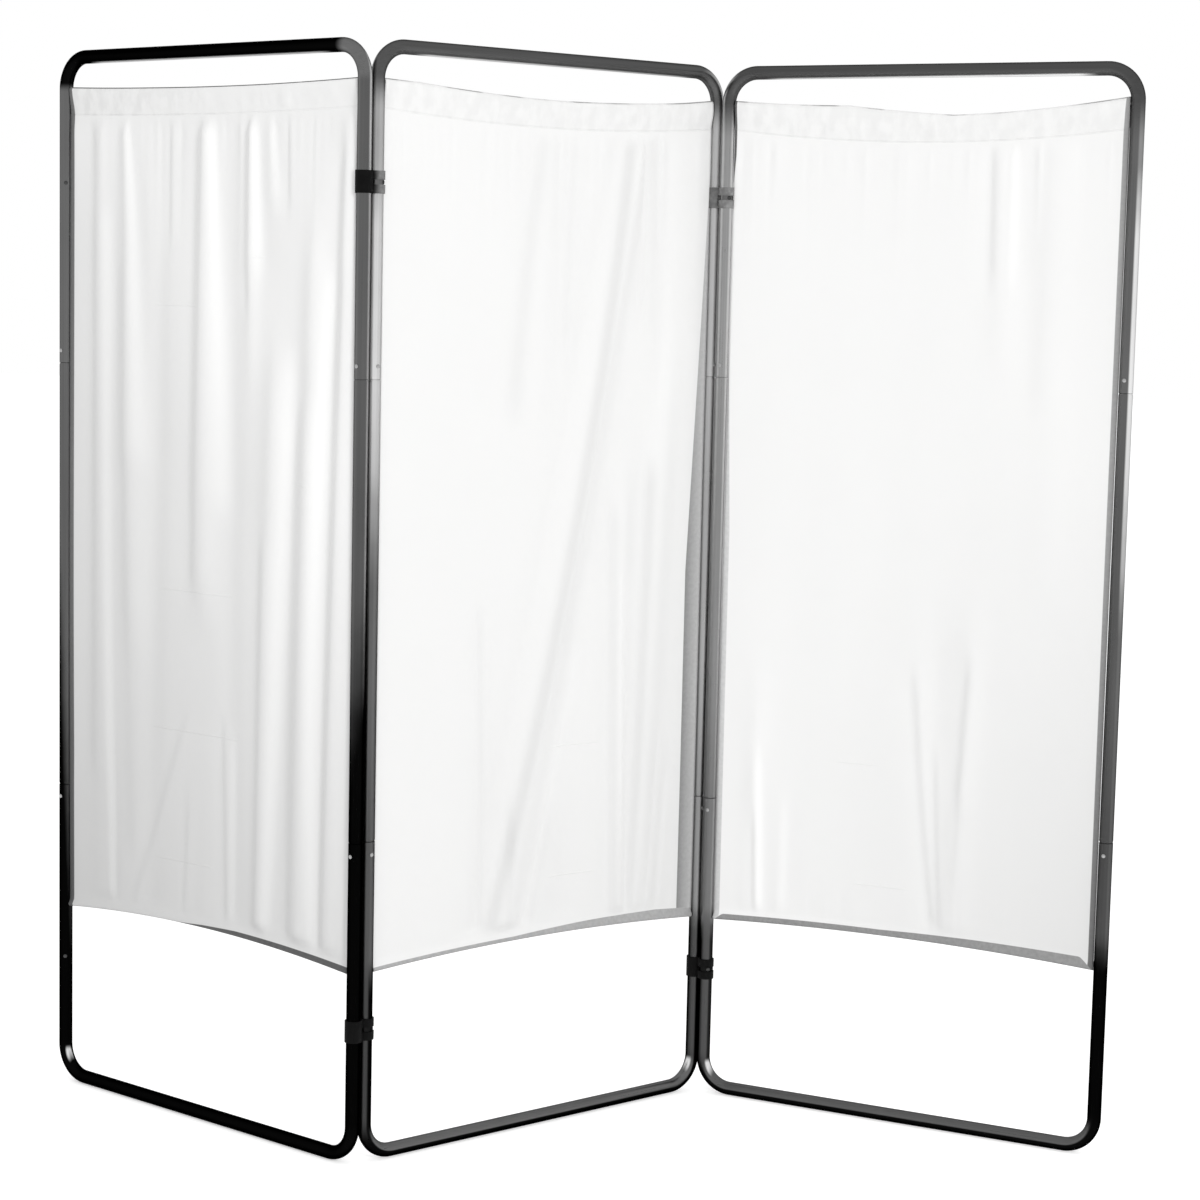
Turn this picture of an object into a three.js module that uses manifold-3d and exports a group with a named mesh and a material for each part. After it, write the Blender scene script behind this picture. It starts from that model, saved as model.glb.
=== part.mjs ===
// Three-leaf folding privacy screen: bent tube frames on swivelling hinge clips, with hung cloths.
// Millimetres, +Z up. A leaf is built in its own frame: the axis of its left upright is at x = 0,
// it runs along +X, its front faces -Y and its lower rail stands on z = 0.
import * as THREE from 'three';
import { mergeVertices } from 'three/addons/utils/BufferGeometryUtils.js';
import Module from 'manifold-3d';

// Frame of a leaf
const leafWidth = 711;
const leafHeight = 1727;
const tubeDiameter = 22.2;
const tubeWall = 1.2;
const bendRadius = 50;
const bowDepth = 509;
const tubeSides = 12;
const bendSteps = 6;

// Joints between the bows and the side tubes
const swageDepth = 40;
const swageTaper = 3;
const seatGap = 0.3;
const rivetSetback = 20;

// Rivets
const rivetHeadDiameter = 6.4;
const rivetHeadHeight = 1.1;
const rivetShankDiameter = 3.2;
const rivetTailDiameter = 4.8;
const rivetTailLength = 1;
const rivetSides = 8;

// Hinge clips
const clipSpacing = 25.4;
const clipWall = 2;
const clipHeight = 34;
const clipInset = 214;
const clipBevel = 1;
const clipWaist = 14;
const clipSides = 9;
const boreSides = 12;
const hingeRivetTurn = THREE.MathUtils.degToRad(-45);
const slotHeight = 7.6;
const slotGap = 0.5;
const slotSteps = 12;

// Swing of a clip each way from square to its leaf, and how the screen stands
const swingBack = THREE.MathUtils.degToRad(90);
const middleLeafTurn = THREE.MathUtils.degToRad(40.5);
const leftClipTurn = THREE.MathUtils.degToRad(8);
const leftLeafTurn = THREE.MathUtils.degToRad(-88.5);
const rightClipTurn = THREE.MathUtils.degToRad(-81.5);
const rightLeafTurn = THREE.MathUtils.degToRad(14);

// Curtain rods, bowed towards each other by the taut cloth, on each leaf by its own share
const rodDiameter = 6.4;
const rodGap = 0.4;
const rodBow = 12;
const rodEndInset = 4;
const topRodDrop = 64;
const bottomRodRise = 305;
const rodSides = 6;
const rodSteps = 10;
const rodBowShares = {
  left_leaf: { top: 0.5, bottom: 1.5 },
  middle_leaf: { top: 1.25, bottom: 1 },
  right_leaf: { top: 1.75, bottom: 0.85 },
};

// Cloth
const clothSideGap = 5;
const clothThickness = 1;
const casingDepth = 42;
const hemDepth = 14;
const foldDepth = 6;
const clothBillow = 2;
const clothSteps = 36;
const clothRows = 6;

// How far down the cloth a fold takes to come and go, and how it widens on the way
const foldRampShare = 0.12;
const foldWideningShare = 0.4;

// Each fold of a cloth: its place across at the top, its place across at the foot, its half
// width, its depth forwards (or backwards, where negative), and where down the cloth it starts
// and ends
const foldShares = {
  left_leaf: [
    [0.12, 0.13, 0.028, 0.5, 0, 1], [0.22, 0.26, 0.030, 0.7, 0, 0.6],
    [0.34, 0.30, 0.030, -0.5, 0, 1], [0.50, 0.50, 0.032, 0.9, 0, 0.55],
    [0.58, 0.60, 0.030, -0.5, 0, 1], [0.66, 0.64, 0.022, 0.5, 0, 0.25],
    [0.76, 0.70, 0.030, 0.8, 0.35, 1], [0.87, 0.84, 0.030, 0.9, 0.2, 1],
    [0.975, 0.94, 0.026, 0.7, 0, 1],
  ],
  middle_leaf: [
    [0.49, 0.42, 0.030, 0.4, 0, 0.3], [0.70, 0.29, 0.030, -0.4, 0, 1],
    [0.78, 0.38, 0.032, 1, 0, 1], [0.85, 0.85, 0.026, -0.4, 0, 0.3],
    [0.66, 0.58, 0.045, -0.5, 0.6, 1], [0.73, 0.75, 0.024, 0.7, 0.5, 1],
    [0.89, 0.82, 0.030, 0.7, 0.35, 1],
  ],
  right_leaf: [
    [0.12, 0.10, 0.024, 0.4, 0.75, 1], [0.71, 0.71, 0.030, 0.4, 0, 0.2],
    [0.55, 0.59, 0.030, -0.4, 0.65, 1], [0.70, 0.64, 0.026, 0.5, 0.65, 1],
    [0.84, 0.84, 0.040, 0.3, 0, 0.5],
  ],
};

// Points closer together than this are one
const mergeDistance = 0.0001;

// Sizes that follow
const tubeRadius = tubeDiameter / 2;
const boreRadius = tubeRadius - tubeWall;
const flatRadius = tubeRadius * Math.cos(Math.PI / tubeSides);
const uprightSpacing = leafWidth - 2 * flatRadius;
const openWidth = uprightSpacing - tubeDiameter;
const railLow = flatRadius;
const railHigh = leafHeight - flatRadius;
const topJoint = leafHeight - bowDepth;
const bottomJoint = bowDepth;
const rodRadius = rodDiameter / 2;
const rodHoleRadius = rodRadius + rodGap;
const rodSpan = uprightSpacing - 2 * rodEndInset;
const topRodHeight = leafHeight - topRodDrop;
const drillReach = tubeDiameter;
const swageRadius = boreRadius - seatGap;
const swageBore = swageRadius - tubeWall;

const wasm = await Module();
wasm.setup();

const polished = new THREE.MeshStandardMaterial({ color: 0x8d8f92, roughness: 0.22, metalness: 1 });
const rodSteel = new THREE.MeshStandardMaterial({ color: 0xa2a4a6, roughness: 0.35, metalness: 1 });
const rivetMetal = new THREE.MeshStandardMaterial({ color: 0xb9bbbd, roughness: 0.3, metalness: 1 });
const clipPlastic = new THREE.MeshStandardMaterial({ color: 0x141414, roughness: 0.5, metalness: 0 });
const cloth = new THREE.MeshStandardMaterial({ color: 0xf2f2f0, roughness: 0.92, metalness: 0 });

function mesh(name, geometry, material) {
  const piece = new THREE.Mesh(geometry, material.clone());
  piece.name = name;
  return piece;
}

// Cuts and joins of closed meshes
function toSolid(geometry) {
  const bare = geometry.index ? geometry.toNonIndexed() : geometry.clone();
  for (const name of Object.keys(bare.attributes)) {
    if (name !== 'position') bare.deleteAttribute(name);
  }
  const merged = mergeVertices(bare, mergeDistance);
  const vertProperties = new Float32Array(merged.attributes.position.array);
  const triVerts = new Uint32Array(merged.index.array);
  return new wasm.Manifold(new wasm.Mesh({ numProp: 3, vertProperties, triVerts }));
}

function toGeometry(solid) {
  const result = solid.getMesh();
  const geometry = new THREE.BufferGeometry();
  const places = [];
  for (let i = 0; i < result.vertProperties.length; i += result.numProp) {
    places.push(...result.vertProperties.slice(i, i + 3));
  }
  geometry.setAttribute('position', new THREE.Float32BufferAttribute(places, 3));
  geometry.setIndex([...result.triVerts]);
  return geometry;
}

function cut(geometry, cutters) {
  let solid = toSolid(geometry);
  for (const cutter of cutters) solid = solid.subtract(toSolid(cutter));
  return toGeometry(solid);
}

// A round outline whose flats face along the axes
function ringPoints(radius, sides) {
  return Array.from({ length: sides }, (_, i) => {
    const angle = (i + 0.5) * 2 * Math.PI / sides;
    return new THREE.Vector2(radius * Math.cos(angle), radius * Math.sin(angle));
  });
}

function tubeSection(outer, inner, sides) {
  const section = new THREE.Shape(ringPoints(outer, sides));
  if (inner) section.holes.push(new THREE.Path(ringPoints(inner, sides).reverse()));
  return section;
}

// A path in the XZ plane that is stepped only at its given stations
class StationPath extends THREE.Curve {
  constructor(stations) {
    super();
    this.stations = stations;
  }
  getPoint(t) {
    const { x, z } = this.stations[Math.round(t * (this.stations.length - 1))];
    return new THREE.Vector3(x, 0, z);
  }
  getPointAt(t) {
    return this.getPoint(t);
  }
  getTangentAt(t) {
    const { heading } = this.stations[Math.round(t * (this.stations.length - 1))];
    return new THREE.Vector3(Math.cos(heading), 0, Math.sin(heading));
  }
}

function sweep(section, stations) {
  return new THREE.ExtrudeGeometry(section, {
    extrudePath: new StationPath(stations),
    steps: stations.length - 1,
  });
}

// Stations of one bend, from one heading to the next
function bend(centre, from, to) {
  const side = Math.sign(to - from);
  return Array.from({ length: bendSteps + 1 }, (_, i) => {
    const heading = from + (to - from) * i / bendSteps;
    return {
      x: centre.x + side * bendRadius * Math.sin(heading),
      z: centre.z - side * bendRadius * Math.cos(heading),
      heading,
    };
  });
}

// A hole through one wall, from an upright's axis outwards
function drill(radius, turn, place) {
  const hole = new THREE.CylinderGeometry(radius, radius, drillReach, rivetSides);
  hole.rotateZ(-Math.PI / 2);
  hole.translate(drillReach / 2, 0, 0);
  hole.rotateZ(turn);
  hole.translate(place.x, 0, place.z);
  return hole;
}

function rivetHole(turn, place) {
  return drill(rivetShankDiameter / 2 + seatGap, turn, place);
}

// U-shaped bow with its rail above (rise 1) or below (rise -1) and holes in its legs
function bow(rise) {
  const rail = rise > 0 ? railHigh : railLow;
  const joint = rise > 0 ? topJoint : bottomJoint;
  const bendHeight = rail - rise * bendRadius;
  const upward = rise * Math.PI / 2;
  const left = { x: bendRadius, z: bendHeight };
  const right = { x: uprightSpacing - bendRadius, z: bendHeight };
  const stations = [
    { x: 0, z: joint, heading: upward },
    ...bend(left, upward, 0),
    ...bend(right, 0, -upward),
    { x: uprightSpacing, z: joint, heading: -upward },
  ];
  const rodHeight = rise > 0 ? topRodHeight : bottomRodRise;
  const clipLevel = rise > 0 ? leafHeight - clipInset : clipInset;
  const rivetLevel = joint + rise * rivetSetback;
  return cut(sweep(tubeSection(tubeRadius, boreRadius, tubeSides), stations), [
    drill(rodHoleRadius, 0, { x: 0, z: rodHeight }),
    drill(rodHoleRadius, Math.PI, { x: uprightSpacing, z: rodHeight }),
    rivetHole(-Math.PI / 2, { x: 0, z: rivetLevel }),
    rivetHole(-Math.PI / 2, { x: uprightSpacing, z: rivetLevel }),
    rivetHole(hingeRivetTurn, { x: 0, z: clipLevel }),
  ]);
}

// Straight side tube, its two ends swaged down to plug into the bows
function sideTube() {
  const low = bottomJoint + swageTaper;
  const high = topJoint - swageTaper;
  const foot = bottomJoint - swageDepth;
  const head = topJoint + swageDepth;
  const profile = [
    [swageRadius, foot], [swageRadius, bottomJoint], [tubeRadius, low],
    [tubeRadius, high], [swageRadius, topJoint], [swageRadius, head],
    [swageBore, head], [swageBore, topJoint], [boreRadius, high],
    [boreRadius, low], [swageBore, bottomJoint], [swageBore, foot],
  ];
  const points = [...profile, profile[0]].map(([r, z]) => new THREE.Vector2(r, z));
  const tube = new THREE.LatheGeometry(points, tubeSides, Math.PI / tubeSides);
  tube.rotateX(Math.PI / 2);
  return cut(tube, [
    rivetHole(-Math.PI / 2, { x: 0, z: topJoint + rivetSetback }),
    rivetHole(-Math.PI / 2, { x: 0, z: bottomJoint - rivetSetback }),
  ]);
}

// Domed rivet with its tail spread behind a wall, pointing outwards from an upright's axis
function rivet(innerRadius, turn, place) {
  const seat = tubeRadius + seatGap / 2;
  const tail = innerRadius * Math.cos(Math.PI / tubeSides) - seatGap;
  const headRadius = rivetHeadDiameter / 2;
  const shankRadius = rivetShankDiameter / 2;
  const tailRadius = rivetTailDiameter / 2;
  const profile = [
    [0, tail - rivetTailLength], [tailRadius, tail - rivetTailLength], [tailRadius, tail],
    [shankRadius, tail], [shankRadius, seat], [headRadius, seat],
    [headRadius * Math.cos(Math.PI / 4), seat + rivetHeadHeight * Math.sin(Math.PI / 4)],
    [0, seat + rivetHeadHeight],
  ];
  const points = profile.map(([r, y]) => new THREE.Vector2(r, y));
  const body = new THREE.LatheGeometry(points, rivetSides);
  body.rotateZ(-Math.PI / 2);
  body.rotateZ(turn);
  body.translate(place.x, 0, place.z);
  return body;
}

// Height of a bowed rod above or below where it enters the uprights, and its slope
function rodSag(x, sense, bow) {
  const across = (x - tubeRadius) / openWidth;
  return -sense * bow * 4 * across * (1 - across);
}

function rodSlope(x, sense, bow) {
  const across = (x - tubeRadius) / openWidth;
  return -sense * bow * 4 * (1 - 2 * across) / openWidth;
}

function rodStations(height, sense, bow) {
  return Array.from({ length: rodSteps + 1 }, (_, i) => {
    const x = rodEndInset + rodSpan * i / rodSteps;
    const heading = Math.atan(rodSlope(x, sense, bow));
    return { x, z: height + rodSag(x, sense, bow), heading };
  });
}

function rod(height, sense, bow) {
  return sweep(tubeSection(rodRadius, 0, rodSides), rodStations(height, sense, bow));
}

// Forward shift of a cloth at a place across and down it, from its table of folds
function foldShift(folds, across, down) {
  let shift = 0;
  for (const [topShare, footShare, widthShare, depthShare, startShare, endShare] of folds) {
    const centre = THREE.MathUtils.lerp(topShare, footShare, down);
    const spread = widthShare * (1 + foldWideningShare * down);
    const come = THREE.MathUtils.smoothstep(down, startShare - foldRampShare, startShare);
    const go = THREE.MathUtils.smoothstep(down, endShare, endShare + foldRampShare);
    shift -= depthShare * come * (1 - go) * Math.exp(-(((across - centre) / spread) ** 2));
  }
  return foldDepth * shift - clothBillow * Math.sin(Math.PI * down);
}

// Six points round a rod's casing, front side first, without the one that the web replaces
function casingLoop(radius, centre, angles) {
  return angles.map((degrees) => {
    const angle = THREE.MathUtils.degToRad(degrees);
    return { y: radius * Math.cos(angle), z: centre + radius * Math.sin(angle) };
  });
}

// Outline of the cloth's section at one place across: hem casing, folded web, top casing
function clothSection(folds, across, bottom, top, casingRadius) {
  const seamLow = bottom - casingRadius + hemDepth;
  const seamHigh = top + casingRadius - casingDepth;
  const half = clothThickness / 2;
  const web = Array.from({ length: clothRows + 2 }, (_, i) => {
    const down = 1 - i / (clothRows + 1);
    const inner = i > 0 && i < clothRows + 1;
    const shift = inner ? foldShift(folds, across, down) : 0;
    return { y: shift, z: seamLow + (seamHigh - seamLow) * i / (clothRows + 1) };
  });
  const front = web.map(({ y, z }) => ({ y: y - half, z }));
  const back = web.map(({ y, z }) => ({ y: y + half, z })).reverse();
  return [
    ...casingLoop(casingRadius, bottom, [-90, -150, 150]),
    ...front,
    ...casingLoop(casingRadius, top, [-150, 150, 90, 30, -30]),
    ...back,
    ...casingLoop(casingRadius, bottom, [30, -30]),
  ];
}

// Closed skin between rows of points, each row a loop; flip turns it inside out. Front and back
// faces are split along the same diagonal, so that a thin sheet keeps its thickness
function skin(rows, flip, places, faces) {
  const start = places.length / 3;
  const count = rows[0].length;
  for (const row of rows) {
    for (const { x, y, z } of row) places.push(x, y, z);
  }
  for (let i = 0; i + 1 < rows.length; i += 1) {
    for (let j = 0; j < count; j += 1) {
      const a = start + i * count + j;
      const b = start + i * count + (j + 1) % count;
      const [c, d] = [a + count, b + count];
      const rising = rows[i][(j + 1) % count].z > rows[i][j].z;
      const pair = rising ? [a, d, b, a, c, d] : [a, c, b, b, c, d];
      faces.push(...(flip ? pair.reverse() : pair));
    }
  }
  return { first: start, last: start + (rows.length - 1) * count };
}

// End face of a skin with holes, from the same points
function endFace(loops, starts, flip, faces) {
  const flat = loops.map((loop) => loop.map(({ y, z }) => new THREE.Vector2(y, z)));
  const index = loops.flatMap((loop, k) => loop.map((_, j) => starts[k] + j));
  for (const [a, b, c] of THREE.ShapeUtils.triangulateShape(flat[0], flat.slice(1))) {
    if (flip) faces.push(index[a], index[c], index[b]);
    else faces.push(index[a], index[b], index[c]);
  }
}

// Hung cloth: one closed sheet with a casing round each rod
function clothPanel(folds, bows) {
  const boreOfCasing = (rodRadius + rodGap) / Math.cos(Math.PI / rodSides);
  const casingRadius = boreOfCasing + clothThickness;
  const start = tubeRadius + clothSideGap;
  const width = uprightSpacing - 2 * start;
  const heights = (x) => [
    bottomRodRise + rodSag(x, -1, bows.bottom),
    topRodHeight + rodSag(x, 1, bows.top),
  ];
  const row = (x, loop) => loop.map(({ y, z }) => ({ x, y, z }));
  const stationsOf = (count) => Array.from({ length: count + 1 }, (_, i) => start + width * i / count);
  const outer = stationsOf(clothSteps).map((x) => {
    const [bottom, top] = heights(x);
    return row(x, clothSection(folds, (x - start) / width, bottom, top, casingRadius));
  });
  const ring = [90, 30, -30, -90, -150, 150];
  const bores = [0, 1].map((end) => stationsOf(rodSteps).map((x) => (
    row(x, casingLoop(boreOfCasing, heights(x)[end], ring))
  )));
  const places = [];
  const faces = [];
  const skins = [
    skin(outer, false, places, faces),
    ...bores.map((rows) => skin(rows, true, places, faces)),
  ];
  const loopsAt = (end) => [outer, ...bores].map((rows) => rows.at(end));
  endFace(loopsAt(0), skins.map(({ first }) => first), true, faces);
  endFace(loopsAt(-1), skins.map(({ last }) => last), false, faces);
  const geometry = new THREE.BufferGeometry();
  geometry.setAttribute('position', new THREE.Float32BufferAttribute(places, 3));
  geometry.setIndex(faces);
  return geometry;
}

// One leaf, with its upright axes at x = 0 and x = uprightSpacing
function leaf(name) {
  const group = new THREE.Group();
  group.add(mesh(`${name}_top_bow`, bow(1), polished));
  group.add(mesh(`${name}_bottom_bow`, bow(-1), polished));
  for (const [side, x] of [['left', 0], ['right', uprightSpacing]]) {
    const tube = mesh(`${name}_side_tube_${side}`, sideTube(), polished);
    tube.position.x = x;
    group.add(tube);
    for (const [end, z] of [['top', topJoint + rivetSetback], ['bottom', bottomJoint - rivetSetback]]) {
      const fastener = rivet(swageBore, -Math.PI / 2, { x, z });
      group.add(mesh(`${name}_rivet_${end}_${side}`, fastener, rivetMetal));
    }
  }
  for (const [end, z] of [['top', leafHeight - clipInset], ['bottom', clipInset]]) {
    const fastener = rivet(boreRadius, hingeRivetTurn, { x: 0, z });
    group.add(mesh(`${name}_hinge_rivet_${end}`, fastener, rivetMetal));
  }
  const { top, bottom } = rodBowShares[name];
  const bows = { top: rodBow * top, bottom: rodBow * bottom };
  group.add(mesh(`${name}_top_rod`, rod(topRodHeight, 1, bows.top), rodSteel));
  group.add(mesh(`${name}_bottom_rod`, rod(bottomRodRise, -1, bows.bottom), rodSteel));
  group.add(mesh(`${name}_cloth`, clothPanel(foldShares[name], bows), cloth));
  return group;
}

// Outline of a clip: two round eyes joined by a flat-sided waist
function clipOutline() {
  const eyeRadius = tubeRadius + seatGap + clipWall;
  const waist = Math.asin(clipWaist / 2 / eyeRadius);
  const outline = new THREE.Shape();
  outline.absarc(0, 0, eyeRadius, waist, 2 * Math.PI - waist, false);
  outline.absarc(clipSpacing, 0, eyeRadius, Math.PI + waist, 3 * Math.PI - waist, false);
  const clearRadius = (tubeRadius + seatGap) / Math.cos(Math.PI / boreSides);
  for (const x of [0, clipSpacing]) {
    const points = ringPoints(clearRadius, boreSides).map((p) => new THREE.Vector2(p.x + x, p.y));
    outline.holes.push(new THREE.Path(points.reverse()));
  }
  return outline;
}

// Window in the right eye in which the hinge rivet's head runs from stop to stop
function clipSlot() {
  const headAngle = Math.asin((rivetHeadDiameter / 2 + slotGap) / tubeRadius);
  const half = swingBack + headAngle;
  const outer = tubeRadius + clipWall + tubeWall + seatGap;
  const sector = new THREE.Shape();
  sector.absarc(0, 0, outer, hingeRivetTurn - half, hingeRivetTurn + half, false);
  sector.absarc(0, 0, boreRadius, hingeRivetTurn + half, hingeRivetTurn - half, true);
  const window = new THREE.ExtrudeGeometry(sector, {
    depth: slotHeight,
    curveSegments: slotSteps,
    bevelEnabled: false,
  });
  window.translate(clipSpacing, 0, -slotHeight / 2);
  return window;
}

// Moulded hinge clip, its plain eye on the Z axis and its slotted eye at x = clipSpacing
function clip() {
  const body = new THREE.ExtrudeGeometry(clipOutline(), {
    depth: clipHeight - 2 * clipBevel,
    curveSegments: clipSides,
    bevelThickness: clipBevel,
    bevelSize: clipBevel / 2,
    bevelOffset: -clipBevel / 2,
    bevelSegments: 1,
  });
  body.translate(0, 0, clipBevel - clipHeight / 2);
  return cut(body, [clipSlot()]);
}

function clipPair(name, x) {
  const group = new THREE.Group();
  for (const [end, z] of [['top', leafHeight - clipInset], ['bottom', clipInset]]) {
    const piece = mesh(`${name}_hinge_clip_${end}`, clip(), clipPlastic);
    piece.position.set(x, 0, z);
    group.add(piece);
  }
  return group;
}

// A child that turns about a vertical axis at a place along its parent
function pivot(parent, x, turn) {
  const group = new THREE.Group();
  group.position.x = x;
  group.rotation.z = turn;
  parent.add(group);
  return group;
}

// The whole screen, the middle leaf carrying a clip pair and a leaf on each side
function screen() {
  const whole = new THREE.Group();
  const middle = pivot(whole, 0, middleLeafTurn);
  middle.add(leaf('middle_leaf'));

  const leftClips = pivot(middle, 0, leftClipTurn);
  leftClips.add(clipPair('left', -clipSpacing));
  const left = pivot(leftClips, -clipSpacing, leftLeafTurn);
  const leftLeaf = leaf('left_leaf');
  leftLeaf.position.x = -uprightSpacing;
  left.add(leftLeaf);

  const rightClips = pivot(middle, uprightSpacing, rightClipTurn);
  rightClips.add(clipPair('right', 0));
  const right = pivot(rightClips, clipSpacing, rightLeafTurn);
  right.add(leaf('right_leaf'));

  whole.updateMatrixWorld(true);
  const box = new THREE.Box3().setFromObject(whole, true);
  const centre = box.getCenter(new THREE.Vector3());
  whole.position.set(-centre.x, -centre.y, -box.min.z);
  return whole;
}

export default screen();
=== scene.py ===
"""Three-leaf ward screen: bent tube frames on swivelling clips, with hung cloths."""

import math

import bpy
import numpy as np
from mathutils import Matrix, Vector


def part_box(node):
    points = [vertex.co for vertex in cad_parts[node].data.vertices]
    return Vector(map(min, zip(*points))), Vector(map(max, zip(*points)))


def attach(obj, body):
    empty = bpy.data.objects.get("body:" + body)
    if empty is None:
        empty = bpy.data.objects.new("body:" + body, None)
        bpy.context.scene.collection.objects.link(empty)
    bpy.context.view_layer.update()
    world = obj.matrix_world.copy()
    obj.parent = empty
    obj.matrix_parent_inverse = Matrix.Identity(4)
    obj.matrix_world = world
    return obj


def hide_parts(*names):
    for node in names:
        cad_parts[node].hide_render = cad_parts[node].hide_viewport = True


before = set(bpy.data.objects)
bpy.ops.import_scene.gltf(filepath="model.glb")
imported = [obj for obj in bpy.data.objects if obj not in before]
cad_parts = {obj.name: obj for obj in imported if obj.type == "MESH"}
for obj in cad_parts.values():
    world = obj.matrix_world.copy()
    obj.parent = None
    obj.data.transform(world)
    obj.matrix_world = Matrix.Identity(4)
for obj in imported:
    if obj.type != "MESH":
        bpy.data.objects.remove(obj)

bl_info = {
    "name": "Ward Screen",
    "version": (1, 0, 0),
    "blender": (4, 5, 0),
    "location": "View3D > Sidebar > Ward Screen",
    "description": "Builds a folding three-leaf screen around its packed frame",
    "category": "Object",
}

LEAVES = ("left_leaf", "middle_leaf", "right_leaf")
SIDES = ("left", "right")
ENDS = ("top", "bottom")


# Where the frame puts things

def middle_of(node):
    low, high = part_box(node)
    return (low + high) / 2


def upright(leaf, side):
    """The axis of one upright, where it meets the floor."""
    place = middle_of(f"{leaf}_side_tube_{side}")
    return Vector((place.x, place.y, 0))


def placing(leaf):
    """From a leaf's own frame to the row's: left upright on Z, the leaf along X, its front to -Y."""
    start, end = upright(leaf, "left"), upright(leaf, "right")
    turn = math.atan2(end.y - start.y, end.x - start.x)
    return Matrix.Translation(start) @ Matrix.Rotation(turn, 4, "Z")


def turn_of(leaf):
    return placing(leaf).to_euler().z


SPACING = (upright("middle_leaf", "right") - upright("middle_leaf", "left")).length
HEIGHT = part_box("middle_leaf_top_bow")[1].z
BOW_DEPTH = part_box("middle_leaf_bottom_bow")[1].z
TOP_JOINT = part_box("middle_leaf_top_bow")[0].z


# Settings

def setting(kind, **fixed):
    """A short way to declare one kind of setting, by its name, description and default."""

    def declare(name, description, default):
        return kind(name=name, description=description, default=default, **fixed)

    return declare


length = setting(bpy.props.FloatProperty, unit="LENGTH", precision=4)
angle = setting(bpy.props.FloatProperty, subtype="ANGLE")
share = setting(bpy.props.FloatProperty, subtype="FACTOR", min=0, max=1)
optic = setting(bpy.props.FloatProperty, unit="CAMERA")
power = setting(bpy.props.FloatProperty, unit="POWER")
count = setting(bpy.props.IntProperty, min=1)
tint = setting(bpy.props.FloatVectorProperty, subtype="COLOR", size=3, min=0, max=1)
point = setting(bpy.props.FloatVectorProperty, subtype="TRANSLATION")


class FrameSettings(bpy.types.PropertyGroup):
    tube_diameter: length("Tube diameter", "Outside width of the bent tube", 0.0222)
    tube_wall: length("Tube wall", "Thickness of the tube's wall", 0.0012)
    bend_radius: length("Bend radius", "Radius of a corner, to the tube's axis", 0.050)
    swage_depth: length("Swage depth", "How far a side tube plugs into a bow", 0.036)
    swage_step: length("Swage step", "Height of the shoulder where a side tube narrows", 0.003)
    swage_ease: length("Swage ease", "Widening over the first part of the shoulder", 0.0005)
    mouth_roll: length("Rolled mouth", "Rounding at the open end of a bow", 0.0005)
    tube_sides: count("Tube sides", "Faces round a tube", 40)
    bend_steps: count("Bend steps", "Faces along a corner", 18)
    rod_diameter: length("Rod diameter", "Width of a curtain rod", 0.0064)
    rod_inset: length("Rod end inset", "How far short of the upright's axis a rod ends", 0.004)
    rod_steps: count("Rod steps", "Segments along a rod", 28)
    rod_sides: count("Rod sides", "Faces round a rod", 20)


class FittingSettings(bpy.types.PropertyGroup):
    rivet_sides: count("Rivet sides", "Faces round a rivet", 28)
    dome_rings: count("Dome rings", "Rings of faces on a rivet's dome", 5)
    rivet_width: length("Rivet width", "Width of a rivet's head", 0.0064)
    rivet_rim: length("Rivet rim", "Height of the rim below a rivet's dome", 0.0004)
    rivet_dome: length("Rivet dome", "Height of a rivet's dome", 0.0011)
    rivet_sink: length("Rivet sink", "How far a rivet's head sits in the tube's curve", 0.0001)
    clip_sides: count("Clip sides", "Faces round an eye of a clip", 72)
    clip_height: length("Clip height", "Height of a hinge clip", 0.034)
    clip_wall: length("Clip wall", "Thickness of a clip round its tubes", 0.002)
    clip_gap: length("Clip gap", "Clear space between a clip and its tubes", 0.0003)
    clip_waist: length("Clip waist", "Depth of a clip between its tubes", 0.014)
    clip_rounding: length("Clip rounding", "Rounding of a clip's edges", 0.0006)
    window_steps: count("Window steps", "Faces along the window for a rivet's head", 48)
    window_height: length("Window height", "Height of the window for a rivet's head", 0.0076)
    window_play: length("Window play", "Clear space beside a rivet's head at its stops", 0.0005)


class FinishSettings(bpy.types.PropertyGroup):
    cloth_white: tint("Cloth", "Colour of the clean cloth", (0.87, 0.87, 0.866))
    clip_black: tint("Clips", "Colour of the moulded clips", (0.004, 0.004, 0.004))
    rivet_grey: tint("Rivets", "Colour of the bright rivets", (0.42, 0.42, 0.42))
    hinge_grey: tint("Hinge rivets", "Colour of the dull rivets in the clips", (0.07, 0.07, 0.07))
    rod_grey: tint("Rods", "Colour of the curtain rods", (0.12, 0.12, 0.12))


class ClothSettings(bpy.types.PropertyGroup):
    side_gap: length("Side gap", "Clear space between the cloth and an upright", 0.0008)
    thickness: length("Thickness", "Thickness of the cloth", 0.0006)
    casing_depth: length("Casing depth", "From the top edge down to the heading seam", 0.042)
    hem_depth: length("Hem depth", "From the lower edge up to the hem seam", 0.014)
    rod_play: length("Rod play", "Clear space between a rod and its casing", 0.0004)
    fold_depth: length("Fold depth", "Depth of the deepest fold", 0.006)
    crease_depth: length("Crease depth", "Depth of the sharpest crease", 0.0042)
    pucker_depth: length("Pucker depth", "Depth of the gathers along a seam", 0.0014)
    ruffle_depth: length("Ruffle depth", "Depth of the gathers in the heading", 0.0008)
    billow: length("Billow", "How far the middle of a cloth stands forwards", 0.002)
    columns: count("Columns", "Faces across a cloth", 180)
    rows: count("Rows", "Faces down the web of a cloth", 170)


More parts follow.
